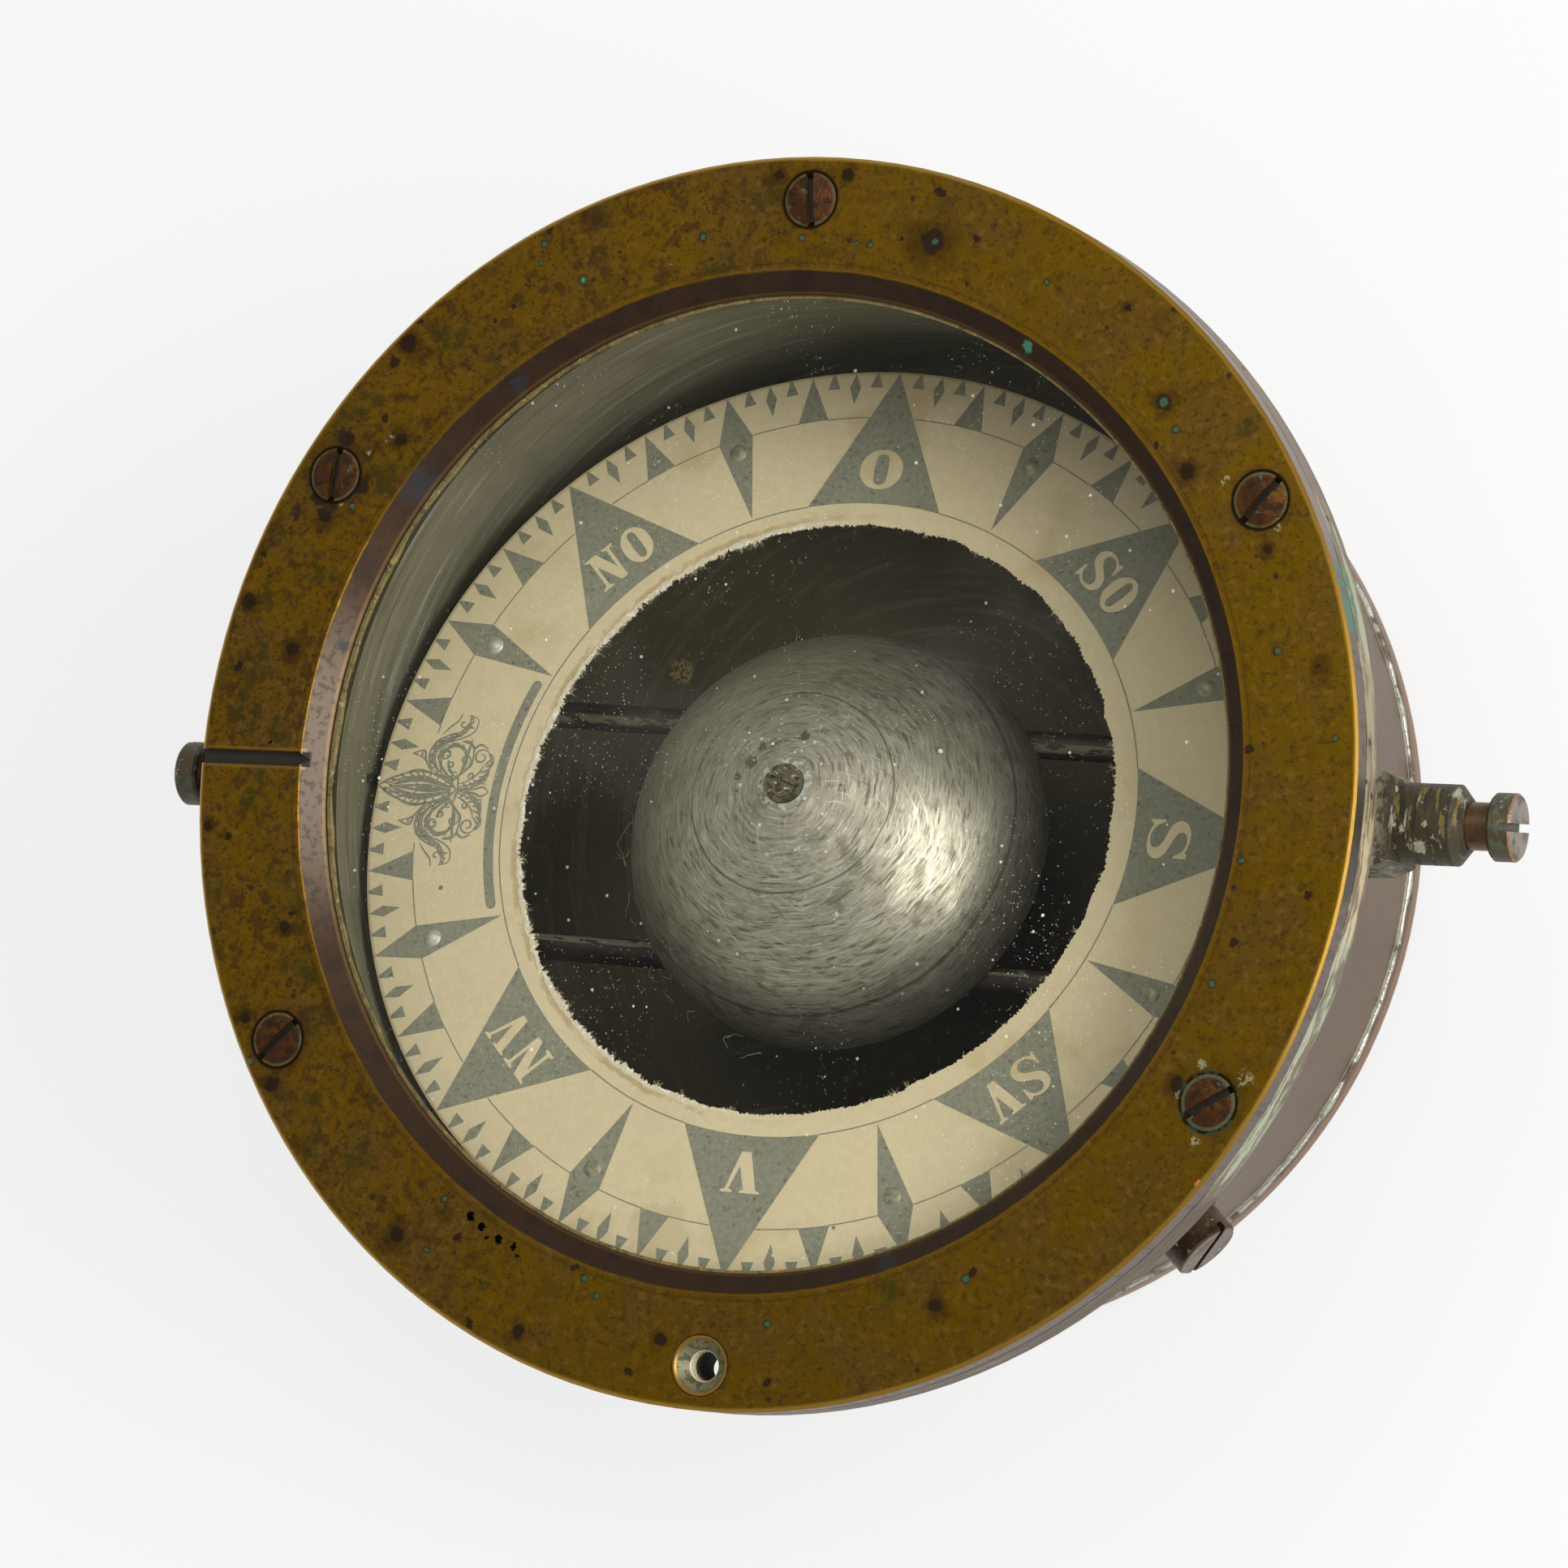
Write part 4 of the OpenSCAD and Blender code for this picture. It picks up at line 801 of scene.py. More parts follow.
points_print = []
for bearing, word in winds.items():
    base = [on_card(bearing + half, 0, ring_in)
            for half in [wind_half * step / 6 for step in range(-6, 7)]]
    points_print.append((base + [polar(bearing, ring_out)], None))
    widths = [(single_widths if len(word) == 1 else letter_widths)[letter] for letter in word]
    left = -(sum(widths) + letter_gap * (len(word) - 1)) / 2
    for letter, wide in zip(word, widths):
        for outline, corners in letters[letter]:
            spots = [on_card(bearing, left + u * wide, letter_foot + v * letter_height)
                     for u, v in outline]
            points_print.append((spots, corners))
        left += wide + letter_gap
for bearing in [22.5 + 45 * k for k in range(8)]:
    points_print.append(([polar(bearing, ring_in + 0.0004), polar(bearing + point_half, ring_mid),
                          polar(bearing, ring_out), polar(bearing - point_half, ring_mid)], None))
for bearing in [11.25 + 22.5 * k for k in range(16)]:
    points_print.append(([polar(bearing - small_half, ring_mid),
                          polar(bearing + small_half, ring_mid), polar(bearing, ring_out)], None))
for sector in range(32):
    start = 11.25 * sector
    for offset in (2.8, 8.45):
        low = [on_card(start + offset, side * 0.00105, tick_foot) for side in (-1, 1)]
        high = [on_card(start + offset, side * 0.0002, ring_out) for side in (1, -1)]
        points_print.append((low + high, None))
    middle = start + 5.625
    points_print.append(([polar(middle, diamond_foot), on_card(middle, 0.00095, tick_waist),
                          polar(middle, ring_out), on_card(middle, -0.00095, tick_waist)], None))
card_points = print_piece("card_points", points_print)


def arc_band(radius, width, first, last, steps):
    """A band of ink between two bearings."""
    spread = [first + (last - first) * step / steps for step in range(steps + 1)]
    return ([polar(b, radius + width / 2) for b in spread]
            + [polar(b, radius - width / 2) for b in reversed(spread)], None)


rings_print = []
bare = [(-32.7, 32.7)] + [(b + wind_half, b + 32.7) for b in list(winds)[:-1]]
for first, last in bare:
    rings_print.append(arc_band(ring_in, 0.00022, first, last, 24))
wind_side = 0.0114 * (ring_out - ring_mid) / (ring_out - ring_in)
wind_edge = math.degrees(math.atan(wind_side / ring_mid))
for bearing in range(0, 360, 45):
    inner_end, inner_steps = (wind_edge, 10) if bearing else (8.0, 3)
    for near_end, far_end, steps in [(inner_end, 9.2, inner_steps), (13.3, 20.0, 8)]:
        for first, last in [(near_end, far_end), (-far_end, -near_end)]:
            arc = arc_band(ring_mid, ring_line, bearing + first, bearing + last, steps)
            rings_print.append(arc)
bar_radius, bar_width, bar_end = 0.05535, 0.0017, 19.8
rings_print.append(arc_band(bar_radius, bar_width, -bar_end, bar_end, 40))
for side in (-1, 1):
    half_turn = [math.pi * k / 8 for k in range(9)]
    round_end = [on_card(side * bar_end, side * 0.0009 * math.sin(at),
                         bar_radius - bar_width / 2 * math.cos(at)) for at in half_turn]
    rings_print.append((round_end, None))
card_rings = print_piece("card_rings", rings_print)


# North mark. A lily of the traditional kind, drawn for this card: a middle leaf, two arms that curl
# into volutes with an outer leaf each, a band, and a tail with two small scrolls.
def smooth_line(points, steps=7):
    """Points along a smooth line through the given ones."""
    ends = [points[0]] + list(points) + [points[-1]]
    line = []
    for a, b, c, d in zip(ends, ends[1:], ends[2:], ends[3:]):
        for step in range(steps):
            t = step / steps
            line.append(tuple(0.5 * (2 * q + (r - p) * t + (2 * p - 5 * q + 4 * r - s) * t * t
                                     + (3 * q - p - 3 * r + s) * t ** 3)
                              for p, q, r, s in zip(a, b, c, d)))
    return line + [points[-1]]


def spiral(centre, radius, start, sweep, shrink=0.25, steps=14):
    """A volute that turns by the sweep, in degrees, while its radius shrinks to that share."""
    line = []
    for share in [step / steps for step in range(steps + 1)]:
        out = radius * (1 - (1 - shrink) * share)
        at = math.radians(start + sweep * share)
        line.append((centre[0] + out * math.cos(at), centre[1] + out * math.sin(at)))
    return line


def leafy(points, lobes, size, steps=9):
    """A line along another one, bulging in lobes to its left like the edge of an acanthus leaf."""
    line = smooth_line(points, steps)
    edge = []
    for index, (x, y) in enumerate(line):
        (x0, y0), (x1, y1) = line[max(index - 1, 0)], line[min(index + 1, len(line) - 1)]
        share = index / (len(line) - 1)
        away = size * abs(math.sin(math.pi * lobes * share)) * (1 - 0.4 * share)
        away /= math.hypot(x1 - x0, y1 - y0)
        edge.append((x - (y1 - y0) * away, y + (x1 - x0) * away))
    return edge


# Millimetres across and up from the band, then the width of the line at its middle.
lily = [([(0, -0.4), (-1.5, 1.6), (-2.7, 5.2), (-2.6, 8.2), (-1.3, 11.2), (0, 13.4)], 0.26),
        ([(-0.4, 0.8), (-1.2, 4.0), (-1.4, 7.0), (-0.4, 10.6)], 0.7),
        ([(0, 0.6), (0.1, 3.0), (-0.2, 5.0), (0.4, 7.4)], 0.3),
        ([(0.6, 6.4), (1.2, 7.6), (0.9, 9.2), (0.2, 11.4)], 0.22),
        ([(-0.7, 0.5), (-1.9, 2.6), (-3.4, 4.6), (-5.6, 5.6), (-8.0, 4.8), (-9.4, 2.6),
          (-10.0, 0.8), (-11.6, -0.4), (-13.0, -0.2)], 0.24),
        ([(-1.1, 0.3), (-2.2, 2.2), (-3.6, 3.7), (-5.4, 4.5), (-7.2, 3.9), (-8.3, 2.2), (-8.9, 0.4),
          (-10.2, -1.5), (-12.2, -1.8), (-13.0, -0.2)], 0.24),
        ([(-1.6, 0.2), (-2.8, 2.0), (-4.2, 3.2), (-5.8, 3.4), (-7.0, 2.6), (-7.6, 1.2),
          (-7.0, -0.4), (-5.2, -1.2), (-3.0, -0.6), (-1.8, 0.1)], 0.5),
        (spiral((-6.2, 2.6), 1.5, 200, -420), 0.2),
        ([(-2.6, 4.4), (-4.0, 5.4), (-5.2, 6.6), (-5.8, 8.6)], 0.22),
        ([(-3.2, 4.9), (-4.8, 6.0), (-6.4, 6.6), (-5.8, 8.6)], 0.3),
        ([(-9.2, 1.6), (-10.6, 0.4), (-12.2, -0.6)], 0.16),
        ([(-8.4, 0.2), (-8.2, -1.2), (-7.2, -2.2)], 0.45),
        ([(-0.5, -0.6), (-1.2, -3.0), (-2.6, -4.8), (-4.8, -5.6), (-6.6, -5.2)], 0.34),
        ([(-1.0, -0.6), (-1.9, -2.4), (-3.2, -3.8), (-4.6, -4.4)], 0.24),
        ([(-0.2, -0.7), (-0.6, -3.0), (-1.4, -4.6), (-1.2, -5.4)], 0.22),
        (spiral((-5.9, -3.7), 1.5, 270, -470), 0.26), (spiral((-5.2, -1.0), 1.0, 320, -400), 0.24),
        ([(0, -0.7), (-0.35, -3.6), (-0.8, -5.0), (0, -6.2)], 0.3),
        ([(-2.6, 0.0), (-1.6, 0.45), (0, 0.6)], 0.2),
        ([(-2.6, 0.0), (-1.6, -0.45), (0, -0.6)], 0.26)]
lily += [(leafy(lily[4][0], 6, 0.75), 0.3), (leafy(lily[6][0][:7], 3, -0.6), 0.26),
         (leafy(lily[0][0], 3, 0.35), 0.2), (leafy(lily[12][0], 3, 0.6), 0.26),
         (spiral((-6.0, 2.4), 0.8, 20, 400), 0.3), (spiral((-11.4, 0.6), 0.7, 300, 300), 0.24),
         (spiral((-4.2, 1.4), 0.6, 100, 360), 0.26), (spiral((-2.6, -2.6), 0.6, 0, 380), 0.26),
         ([(-0.9, 2.2), (-1.9, 5.4), (-1.5, 9.0), (-0.3, 12.2)], 0.3),
         ([(0.0, 1.0), (-0.5, 4.4), (-0.2, 8.6), (0.1, 11.6)], 0.36),
         ([(-3.0, 3.6), (-5.2, 4.9), (-7.4, 4.3), (-8.6, 2.4), (-9.6, 0.6), (-11.2, -0.9)], 0.4),
         ([(-2.2, 0.3), (-3.6, 1.6), (-5.0, 2.0)], 0.4),
         ([(-2.4, -0.4), (-3.6, -1.4), (-4.6, -2.2), (-6.0, -2.2)], 0.36),
         ([(-7.4, -4.6), (-8.0, -3.2), (-7.2, -2.2), (-5.8, -2.3)], 0.3),
         ([(-9.4, 4.0), (-10.8, 2.8), (-12.0, 1.6), (-13.2, 1.2)], 0.22),
         ([(-2.8, 0.0), (-3.1, 0.5), (-2.6, 0.8), (-1.5, 0.75), (0, 0.9)], 0.22)]
# The two lines of the list above that bound the shaded side of each leaf, and its hatches.
leaves = [(0, 1, 11), (4, 5, 16), (6, 5, 9), (8, 9, 7), (12, 13, 8), (14, 12, 6)]
for outer_line, inner_line, count in leaves:
    outer_side, inner_side = (smooth_line(lily[number][0]) for number in (outer_line, inner_line))
    for hatch in range(1, count):
        at = hatch / count
        (x0, y0), (x1, y1) = (side[round(at * (len(side) - 1))]
                              for side in (outer_side, inner_side))
        reach = 0.75 if hatch % 2 else 0.5
        lily.append(([(x0, y0), (x0 + (x1 - x0) * reach, y0 + (y1 - y0) * reach)], 0.26))
lily_band = 0.0628
lily_print = bpy.data.meshes.new("north_mark")
lily_points, lily_faces = [], []
for side in (-1, 1):
    for number, (points, width) in enumerate(lily):
        line = smooth_line([(side * x, y) for x, y in points], 7 if len(points) > 2 else 3)
        lift = paper_top + ink_lift * (1.2 + 0.012 * (number + len(lily) * (side > 0)))
        start = len(lily_points)
        for index, (x, y) in enumerate(line):
            ahead = line[min(index + 1, len(line) - 1)]
            behind = line[max(index - 1, 0)]
            along = Vector((ahead[0] - behind[0], ahead[1] - behind[1])).normalized()
            share = index / (len(line) - 1)
            half = width / 2 * (0.5 + 0.75 * math.sin(math.pi * share))
            for edge in (-half, half):
                spot = on_card(0, (x - along.y * edge) / 1000,
                               lily_band + (y + along.x * edge) / 1000)
                lily_points.append((*spot, lift))
            if index:
                last = start + 2 * index
                lily_faces.append((last - 2, last - 1, last + 1, last))
lily_print.from_pydata(lily_points, [], lily_faces)
north_mark = new_piece("north_mark", lily_print)
lily_thick = north_mark.modifiers.new("thickness", "SOLIDIFY")
lily_thick.thickness = 0.000008  # of the ink
bpy.ops.object.modifier_apply(modifier=lily_thick.name)
seat_on_card(north_mark)

ink = Finish("ink", (134, 132, 118), 0.8, 0.0, card_pose)
ink.shade(ink.noise(0.0008, 5), 0.62, 1.38).shade(ink.noise(0.012, 3, 2), 0.86, 1.14)
ink.cover(ink.patches(0.00045, 0.6, 0.7, seed=3) * 0.7, (158, 150, 126), 0.85)
ink.cover(ink.patches(0.0009, 0.58, 0.68, seed=4) * 0.7, (92, 93, 84), 0.8)
# The same painted shadow of the bezel: the ink is darker towards the SO–S side.
ink.cover(ink.smooth(ink.x * 0.94 + ink.y * 0.34, 0.035, 0.078) * 0.4, (84, 84, 70), 0.85)
ink.relief(ink.noise(0.0004, 3), 0.00002)
ink.dress(card_points, card_rings, north_mark)


# Rivets. Eight soft tin rivets hold the card to its backing and hangers. The two beside the north
# mark still shine, and the others are dull with the ink that was brushed over them.
rivet = Finish("rivets", (150, 148, 130), 0.5, 0.3, card_pose)
rivet_north = (rivet.smooth(rivet.x, -0.05, -0.058)
               * rivet.smooth(rivet.y.maths("ABSOLUTE"), 0.04, 0.035))
rivet.cover(rivet_north, (196, 196, 184), 0.48, 0.5)
rivet.cover((1 - rivet_north) * rivet.patches(0.0012, 0.5, 0.62) * 0.7, (124, 108, 82), 0.6)
rivet.cover(rivet_north * rivet.patches(0.0009, 0.54, 0.66, seed=2) * 0.6, (150, 150, 138), 0.5)
rivet.relief(rivet.noise(0.0006, 3), 0.00002)
rivet.dress(part["card_rivets"])


# Packing and gasket. Putty beds the glass in the bezel; it has gone golden brown, crumbles, and
# bears salt on the side where it swelled. A strip of tarred paper seals the bezel on the flange.
putty_line = bead("putty_line", 0.0766, 0.07885, 0.0005, 900, 0.3, 5, 0.5,
                  [1.9, 1.2, 0.7, 0.4, 0.4, 0.4, 0.7, 0.6, 0.6, 0.9, 1.3, 1.7])
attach(putty_line, "bowl")

putty = Finish("putty", (118, 102, 54), 0.5, 0.0)
putty.cover(putty.patches(0.0022, 0.48, 0.62) * 0.7, (74, 64, 34), 0.7)
putty.cover(putty.patches(0.0012, 0.58, 0.66, seed=2), (146, 122, 58), 0.6)
putty.cover(putty.specks(0.0009, 0.25, 3), (96, 118, 84), 0.8)
putty_salt = putty.smooth(putty.y * 0.5 - putty.x * 0.85, 0.01, 0.05)
putty.cover(putty_salt * putty.patches(0.0013, 0.62, 0.68, seed=6) * 0.7, (156, 160, 128), 0.8)
putty.cover(putty_salt * putty.specks(0.0018, 0.16, 7, 0.14), (206, 206, 188), 0.8)
putty.relief(putty.noise(0.0006, 5), 0.00025)
putty.dress(putty_line, part["upper_packing"])

gasket = Finish("gasket", (50, 42, 34), 0.8, 0.0)
gasket_flecks = gasket.streaks(gasket.angle / 0.6, 0.0, gasket.z / 0.004, 4, 2)
gasket.cover(gasket.smooth(gasket_flecks, 0.56, 0.66), (150, 138, 96), 0.85)
gasket.cover(gasket.patches(0.003, 0.5, 0.65) * 0.6, (84, 72, 60), 0.85)
gasket.relief(gasket.noise(0.0006, 4), 0.0001)
gasket.dress(part["bezel_gasket"], part["lower_packing"])


# Cover glass. A disc of plate glass with white dust, a few hairs' worth of scratches and the faint
# streaks of the last cloth on it.
glass = Finish("glass", (244, 240, 228), 0.6, 0.0)
glass_wipe = glass.streaks((glass.x + glass.y * 0.3) / 0.03,
                           (glass.y - glass.x * 0.3) / 0.0012, 0.0, 4, 1)
glass_dusty = glass.patches(0.024, 0.46, 0.66, seed=4) * 0.8 + 0.12
dust = (glass.specks(0.0021, 0.14, 2, 0.12) * (glass_dusty * 0.6 + 0.3)
        + glass.specks(0.0006, 0.5, 5, 0.24) * glass_dusty * 0.4
        + glass.smooth(glass_wipe, 0.66, 0.8) * 0.05
        + glass.patches(0.03, 0.5, 0.75, seed=6) * 0.012)
glass_clear = glass.node("ShaderNodeBsdfTransparent", None, {"Color": tint(253, 254, 250)})
glass_gloss = glass.node("ShaderNodeBsdfGlossy", None, {"Roughness": 0.02})
glass_dust = glass.shader()
glass_under_dust = glass.node("ShaderNodeMixShader", None, {0: dust, 1: glass_clear, 2: glass_dust})
glass_shine = glass.node("ShaderNodeFresnel", None, {"IOR": 1.5}) * 0.2
glass.dress(part["cover_glass"], surface=glass.node(
    "ShaderNodeMixShader", None, {0: glass_shine, 1: glass_under_dust, 2: glass_gloss}))


# Bezel. A turned brass ring that holds the glass, screwed to the flange. Handling keeps its flat
# golden olive under brown clouds, green spots and pits; its chamfer has gone dark purple brown.
bezel_top = 0.083
lip_radius, chamfer_radius, flat_radius, rim_radius = 0.0767, 0.0797, 0.07995, 0.0971
bezel = Finish("bezel_brass", (112, 84, 8), 0.36, 0.95)
bezel.shade(bezel.turned(0.00022, 0.02, 4), 0.9, 1.1).shade(bezel.noise(0.04, 3, 3), 0.86, 1.12)
bezel_old = bezel.smooth(bezel.y * 0.26 - bezel.x * 0.97, -0.02, 0.05)
bezel.cover(bezel_old * 0.4, (128, 92, 20))
bezel.cover(bezel.patches(0.013, 0.44, 0.64, 5, 5) * 0.45, (86, 60, 26), 0.45, 0.75)
bezel.cover(bezel.patches(0.0035, 0.5, 0.64, 6, 6) * 0.45, (84, 60, 12), 0.45, 0.9)
bezel.cover(bezel.patches(0.0011, 0.56, 0.62, 5, 9) * 0.5, (62, 42, 12), 0.5, 0.85)
bezel.cover(bezel.patches(0.0006, 0.6, 0.64, 4, 21) * (bezel_old * 0.3 + 0.4),
            (44, 30, 10), 0.6, 0.8)
bezel.cover(bezel.patches(0.0016, 0.46, 0.34, 4, 19) * 0.4, (134, 102, 34), 0.36)
bezel.cover(bezel_old * bezel.patches(0.0022, 0.5, 0.6, 6, 7) * 0.65, (62, 42, 14), 0.5, 0.85)
bezel.cover(bezel_old * bezel.patches(0.006, 0.54, 0.66, 6, 8) * 0.45, (70, 64, 14), 0.5, 0.85)
bezel.cover(bezel.specks(0.0013, 0.26, 5, 0.2) * (bezel_old * 0.4 + 0.45), (40, 28, 10), 0.6, 0.7)
bezel.cover(bezel.specks(0.0034, 0.22, 4, 0.16) * 0.85, (42, 30, 12), 0.6, 0.7)


def marks(places, far, near, ragged=0.0004, grain=0.0015, seed=0):
    """Spots on the bezel, from 0 at far times their size to 1 at near times it."""
    return bezel.smooth(bezel.spots(places, ragged, grain, seed), far, near)


# Marks that the picture shows, each as its angle round the ring, its radius and its width.
brown_clouds = [(12.5, 92.5, 4), (24.8, 89, 3), (53.3, 92.5, 3), (75.4, 87.3, 11), (86, 95.2, 5),
                (93, 95.2, 5), (112.3, 95.2, 5), (135, 95.5, 6), (149, 90.5, 15), (142.3, 85, 5),
                (153.7, 89, 6), (164.7, 95.5, 5), (168, 85.2, 5), (213.3, 95, 5), (206, 95, 4),
                (233.8, 92.5, 7), (250, 93.8, 4), (265, 88, 4), (295.3, 87.5, 5), (329.3, 85.5, 5),
                (36.3, 83.2, 5), (43.8, 86.3, 5.5), (198.7, 84.4, 4), (186.8, 96.3, 3),
                (330, 91.1, 13), (90, 91.1, 12), (210, 91.1, 12), (29.6, 91.1, 11)]
bezel.cover(marks(brown_clouds, 1.2, 0.35, 0.0014, 0.004) * 0.72, (64, 42, 12), 0.5, 0.9)
brown_marks = [(5, 80.8, 1.5), (24.8, 89, 1.6), (36.3, 83.2, 3), (43.8, 86.3, 3), (40.8, 81.3, 1.2),
               (71, 89.8, 1.5), (76.3, 94.8, 2), (69.8, 82.8, 0.9), (78.8, 86.3, 1),
               (75.4, 87.3, 4.5), (111.3, 84.2, 0.9), (117.2, 97, 1.5), (123.8, 89, 1.3),
               (126.2, 88.6, 1), (135, 95.5, 3.4), (137.2, 95.2, 2.4), (132.8, 97, 1.2),
               (141.8, 89.8, 1.6), (149, 86, 3), (146, 92.8, 3), (152.4, 91.5, 3.4),
               (142.3, 85, 2.4), (153.7, 89, 2.6), (164.7, 95.5, 3.2), (168, 85.2, 2.6),
               (188, 92.6, 1.4), (186.8, 96.3, 1.8), (198.7, 84.4, 2.2), (197.5, 82.6, 1),
               (213.3, 95, 2.8), (206, 95, 2.2), (233.8, 92.5, 3), (239.3, 86.3, 1.6),
               (245.2, 96.3, 1.8), (250, 93.8, 2.2), (262.3, 93.8, 1.6), (265, 88, 2.2),
               (276.6, 93.5, 1.8), (295.3, 87.5, 2.6), (253.3, 81, 1.6), (329.3, 85.5, 2.6),
               (344.7, 83.6, 1.6), (351.2, 92.8, 1.3), (300.3, 85.5, 1.6), (86, 95.2, 2),
               (93, 95.2, 2), (12.5, 92.5, 1.2), (53.3, 92.5, 1.2), (160, 96, 1.6), (171, 94, 1.8)]
bezel.cover(marks(brown_marks, 1.05, 0.7, 0.0005, 0.0016, 3) * 0.9, (40, 26, 10), 0.6, 0.8)
red_marks = [(149, 86.4, 4), (146, 94, 3.4), (152.6, 89.5, 4), (155, 94, 2.4), (75.4, 87.3, 3)]
bezel.cover(marks(red_marks, 1.1, 0.6, 0.0012, 0.0012, 22) * 0.8, (44, 26, 18), 0.6, 0.7)
rings_left = bezel.spots([(71, 89.8, 2), (112.3, 95.2, 3.6), (287.7, 95.5, 1.4), (337, 84.4, 1.6),
                          (310.3, 84.6, 1.6), (295, 83.2, 1.6), (302, 90, 2.2)], 0.0001, 0.002, 5)
bezel.cover(bezel.smooth((rings_left - 0.8).maths("ABSOLUTE"), 0.3, 0.1) * 0.6, (84, 60, 28), 0.5)
green_soft = [(131.2, 91, 8), (158.7, 84.4, 6), (162.3, 92, 5), (169, 90.5, 5), (175.7, 91.3, 8),
              (176.7, 84.4, 5), (183.5, 88, 8), (205.3, 82.8, 4), (209.3, 82.6, 4), (244, 89.4, 5),
              (291, 83.2, 5), (36.5, 94.4, 4)]
bezel.cover(marks(green_soft, 1.2, 0.3, 0.0012, 0.003, 6) * bezel.patches(0.0016, 0.4, 0.6, 5, 23)
            * 0.8, (56, 56, 10), 0.5, 0.85)
teal_spots = [(5.6, 94.4, 0.8), (14.8, 86.7, 1.1), (40.7, 85.2, 1), (62, 88.5, 0.7),
              (75.2, 87.3, 1.1), (82.2, 84.7, 0.7), (83.8, 84.7, 0.6), (90.2, 85, 0.9),
              (101.5, 86.8, 1), (115.7, 86.7, 1.3), (118.2, 95.2, 1), (119.3, 92.6, 0.8),
              (151.3, 85.5, 1), (210.2, 97, 1.1), (235.5, 83, 0.9), (237.2, 91, 0.7),
              (254.8, 82, 1), (256.8, 84, 0.9), (276.8, 84.6, 0.9), (299.3, 85.9, 1.1),
              (339.9, 82.6, 1), (353.2, 81.3, 0.9), (60.5, 78.6, 1.8), (43.8, 86.3, 1.5)]
teal = bezel.spots(teal_spots, 0.00015, 0.0008, 7)
bezel.cover(bezel.smooth(teal, 2.0, 1.0) * 0.8, (46, 33, 12), 0.6, 0.7)
bezel.cover(bezel.smooth(teal, 1.15, 0.75), (40, 78, 50), 0.8, 0.0, 0.00012)
bright_teal = [(60.5, 78.6, 1.3), (115.7, 86.7, 0.7)]
bezel.cover(marks(bright_teal, 1, 0.6, 0.0002, 0.0008), (64, 136, 100), 0.8, 0.0)
salts = bezel.spots([(26.5, 91.7, 1.6), (143, 86.7, 2), (149.5, 87.2, 1.6), (151.8, 87.6, 1.8),
                     (145.6, 88.6, 1.2), (326, 92.5, 2.2), (333.3, 94, 3), (332.3, 86.9, 2),
                     (328.6, 87, 2.2), (105.7, 84, 0.5), (110, 80.3, 0.5), (33.2, 87.6, 1.6)],
                    0.0006, 0.0012, 9)
bezel.cover(bezel.smooth(salts, 1.0, 0.5) * bezel.patches(0.0006, 0.46, 0.54, 3, 10) * 0.8,
            (142, 138, 98), 0.8, 0.0, 0.0001)
bezel.cover(marks([(323.3, 97.3, 1.2)], 1, 0.6), (190, 104, 44), 0.7, 0.0)
pits = bezel.spots([(241, 82.6, 1.3), (243.5, 82.8, 1.4), (245.5, 82.5, 1.2), (239.3, 82.4, 1.3),
                    (242.2, 83.6, 0.8), (246.4, 83.4, 0.8), (178.4, 85.7, 0.7)], 0.0004, 0.0006, 11)
bezel.cover(bezel.smooth(pits, 1.2, 0.8), (14, 10, 3), 0.7, 1.0)
scratch_way = bezel.place((bezel.x * 0.96 + bezel.y * 0.28) / 0.012,
                          (bezel.y * 0.96 - bezel.x * 0.28) / 0.0005, 0.0)
scratched = bezel.smooth(bezel.noise(1, 2, 4, scratch_way), 0.63, 0.68)
bezel.cover(scratched * bezel.near((-0.0885, 0.0095, bezel_top), 0.009, 0.4),
            (48, 40, 16), 0.5, 0.6, -0.00003)

wander = (bezel.noise(0.006, 3, 12) - 0.5) * 0.0005
bezel_out = bezel.radius + wander
bezel.cover(bezel.band(bezel_out, 0.0809, 0.0811, 0.0002) * 0.35, (62, 44, 22))
# A golden line at the flat's inner edge: worn metal, and a painted highlight along it.
bezel.cover(bezel.band(bezel_out, 0.0799, 0.0802, 0.0002) * 0.3, (142, 104, 26), 0.34, 0.95)
# The rounded outer rim: rubbed bright, with a painted highlight along it.
bezel_rim = bezel.smooth(bezel_out, rim_radius, rim_radius + 0.0005)
bezel.cover(bezel_rim, (160, 124, 46), 0.34, 0.95)
bezel_side = bezel.smooth(bezel.z, 0.0827, 0.0824) * bezel_rim
bezel_runs = bezel.streaks(bezel.angle / 0.7, 0.0, bezel.z / 0.004, 4, 13)
bezel.cover(bezel_side, (104, 90, 80), 0.45, 0.6)
bezel.cover(bezel_side * bezel.smooth(bezel_runs, 0.5, 0.64) * 0.7, (84, 70, 62), 0.5)
bezel.cover(bezel_side * bezel.band(bezel.angle, -8, 1, 2) * 0.7, (50, 42, 34), 0.5)
bezel.cover(bezel_side * bezel.band(bezel.angle, 15, 22, 2) * bezel.smooth(bezel_runs, 0.4, 0.5),
            (84, 122, 106), 0.65, 0.1)
bezel.cover(bezel_side * bezel.band(bezel.angle, 24, 75, 4) * 0.7, (142, 126, 126), 0.42, 0.6)

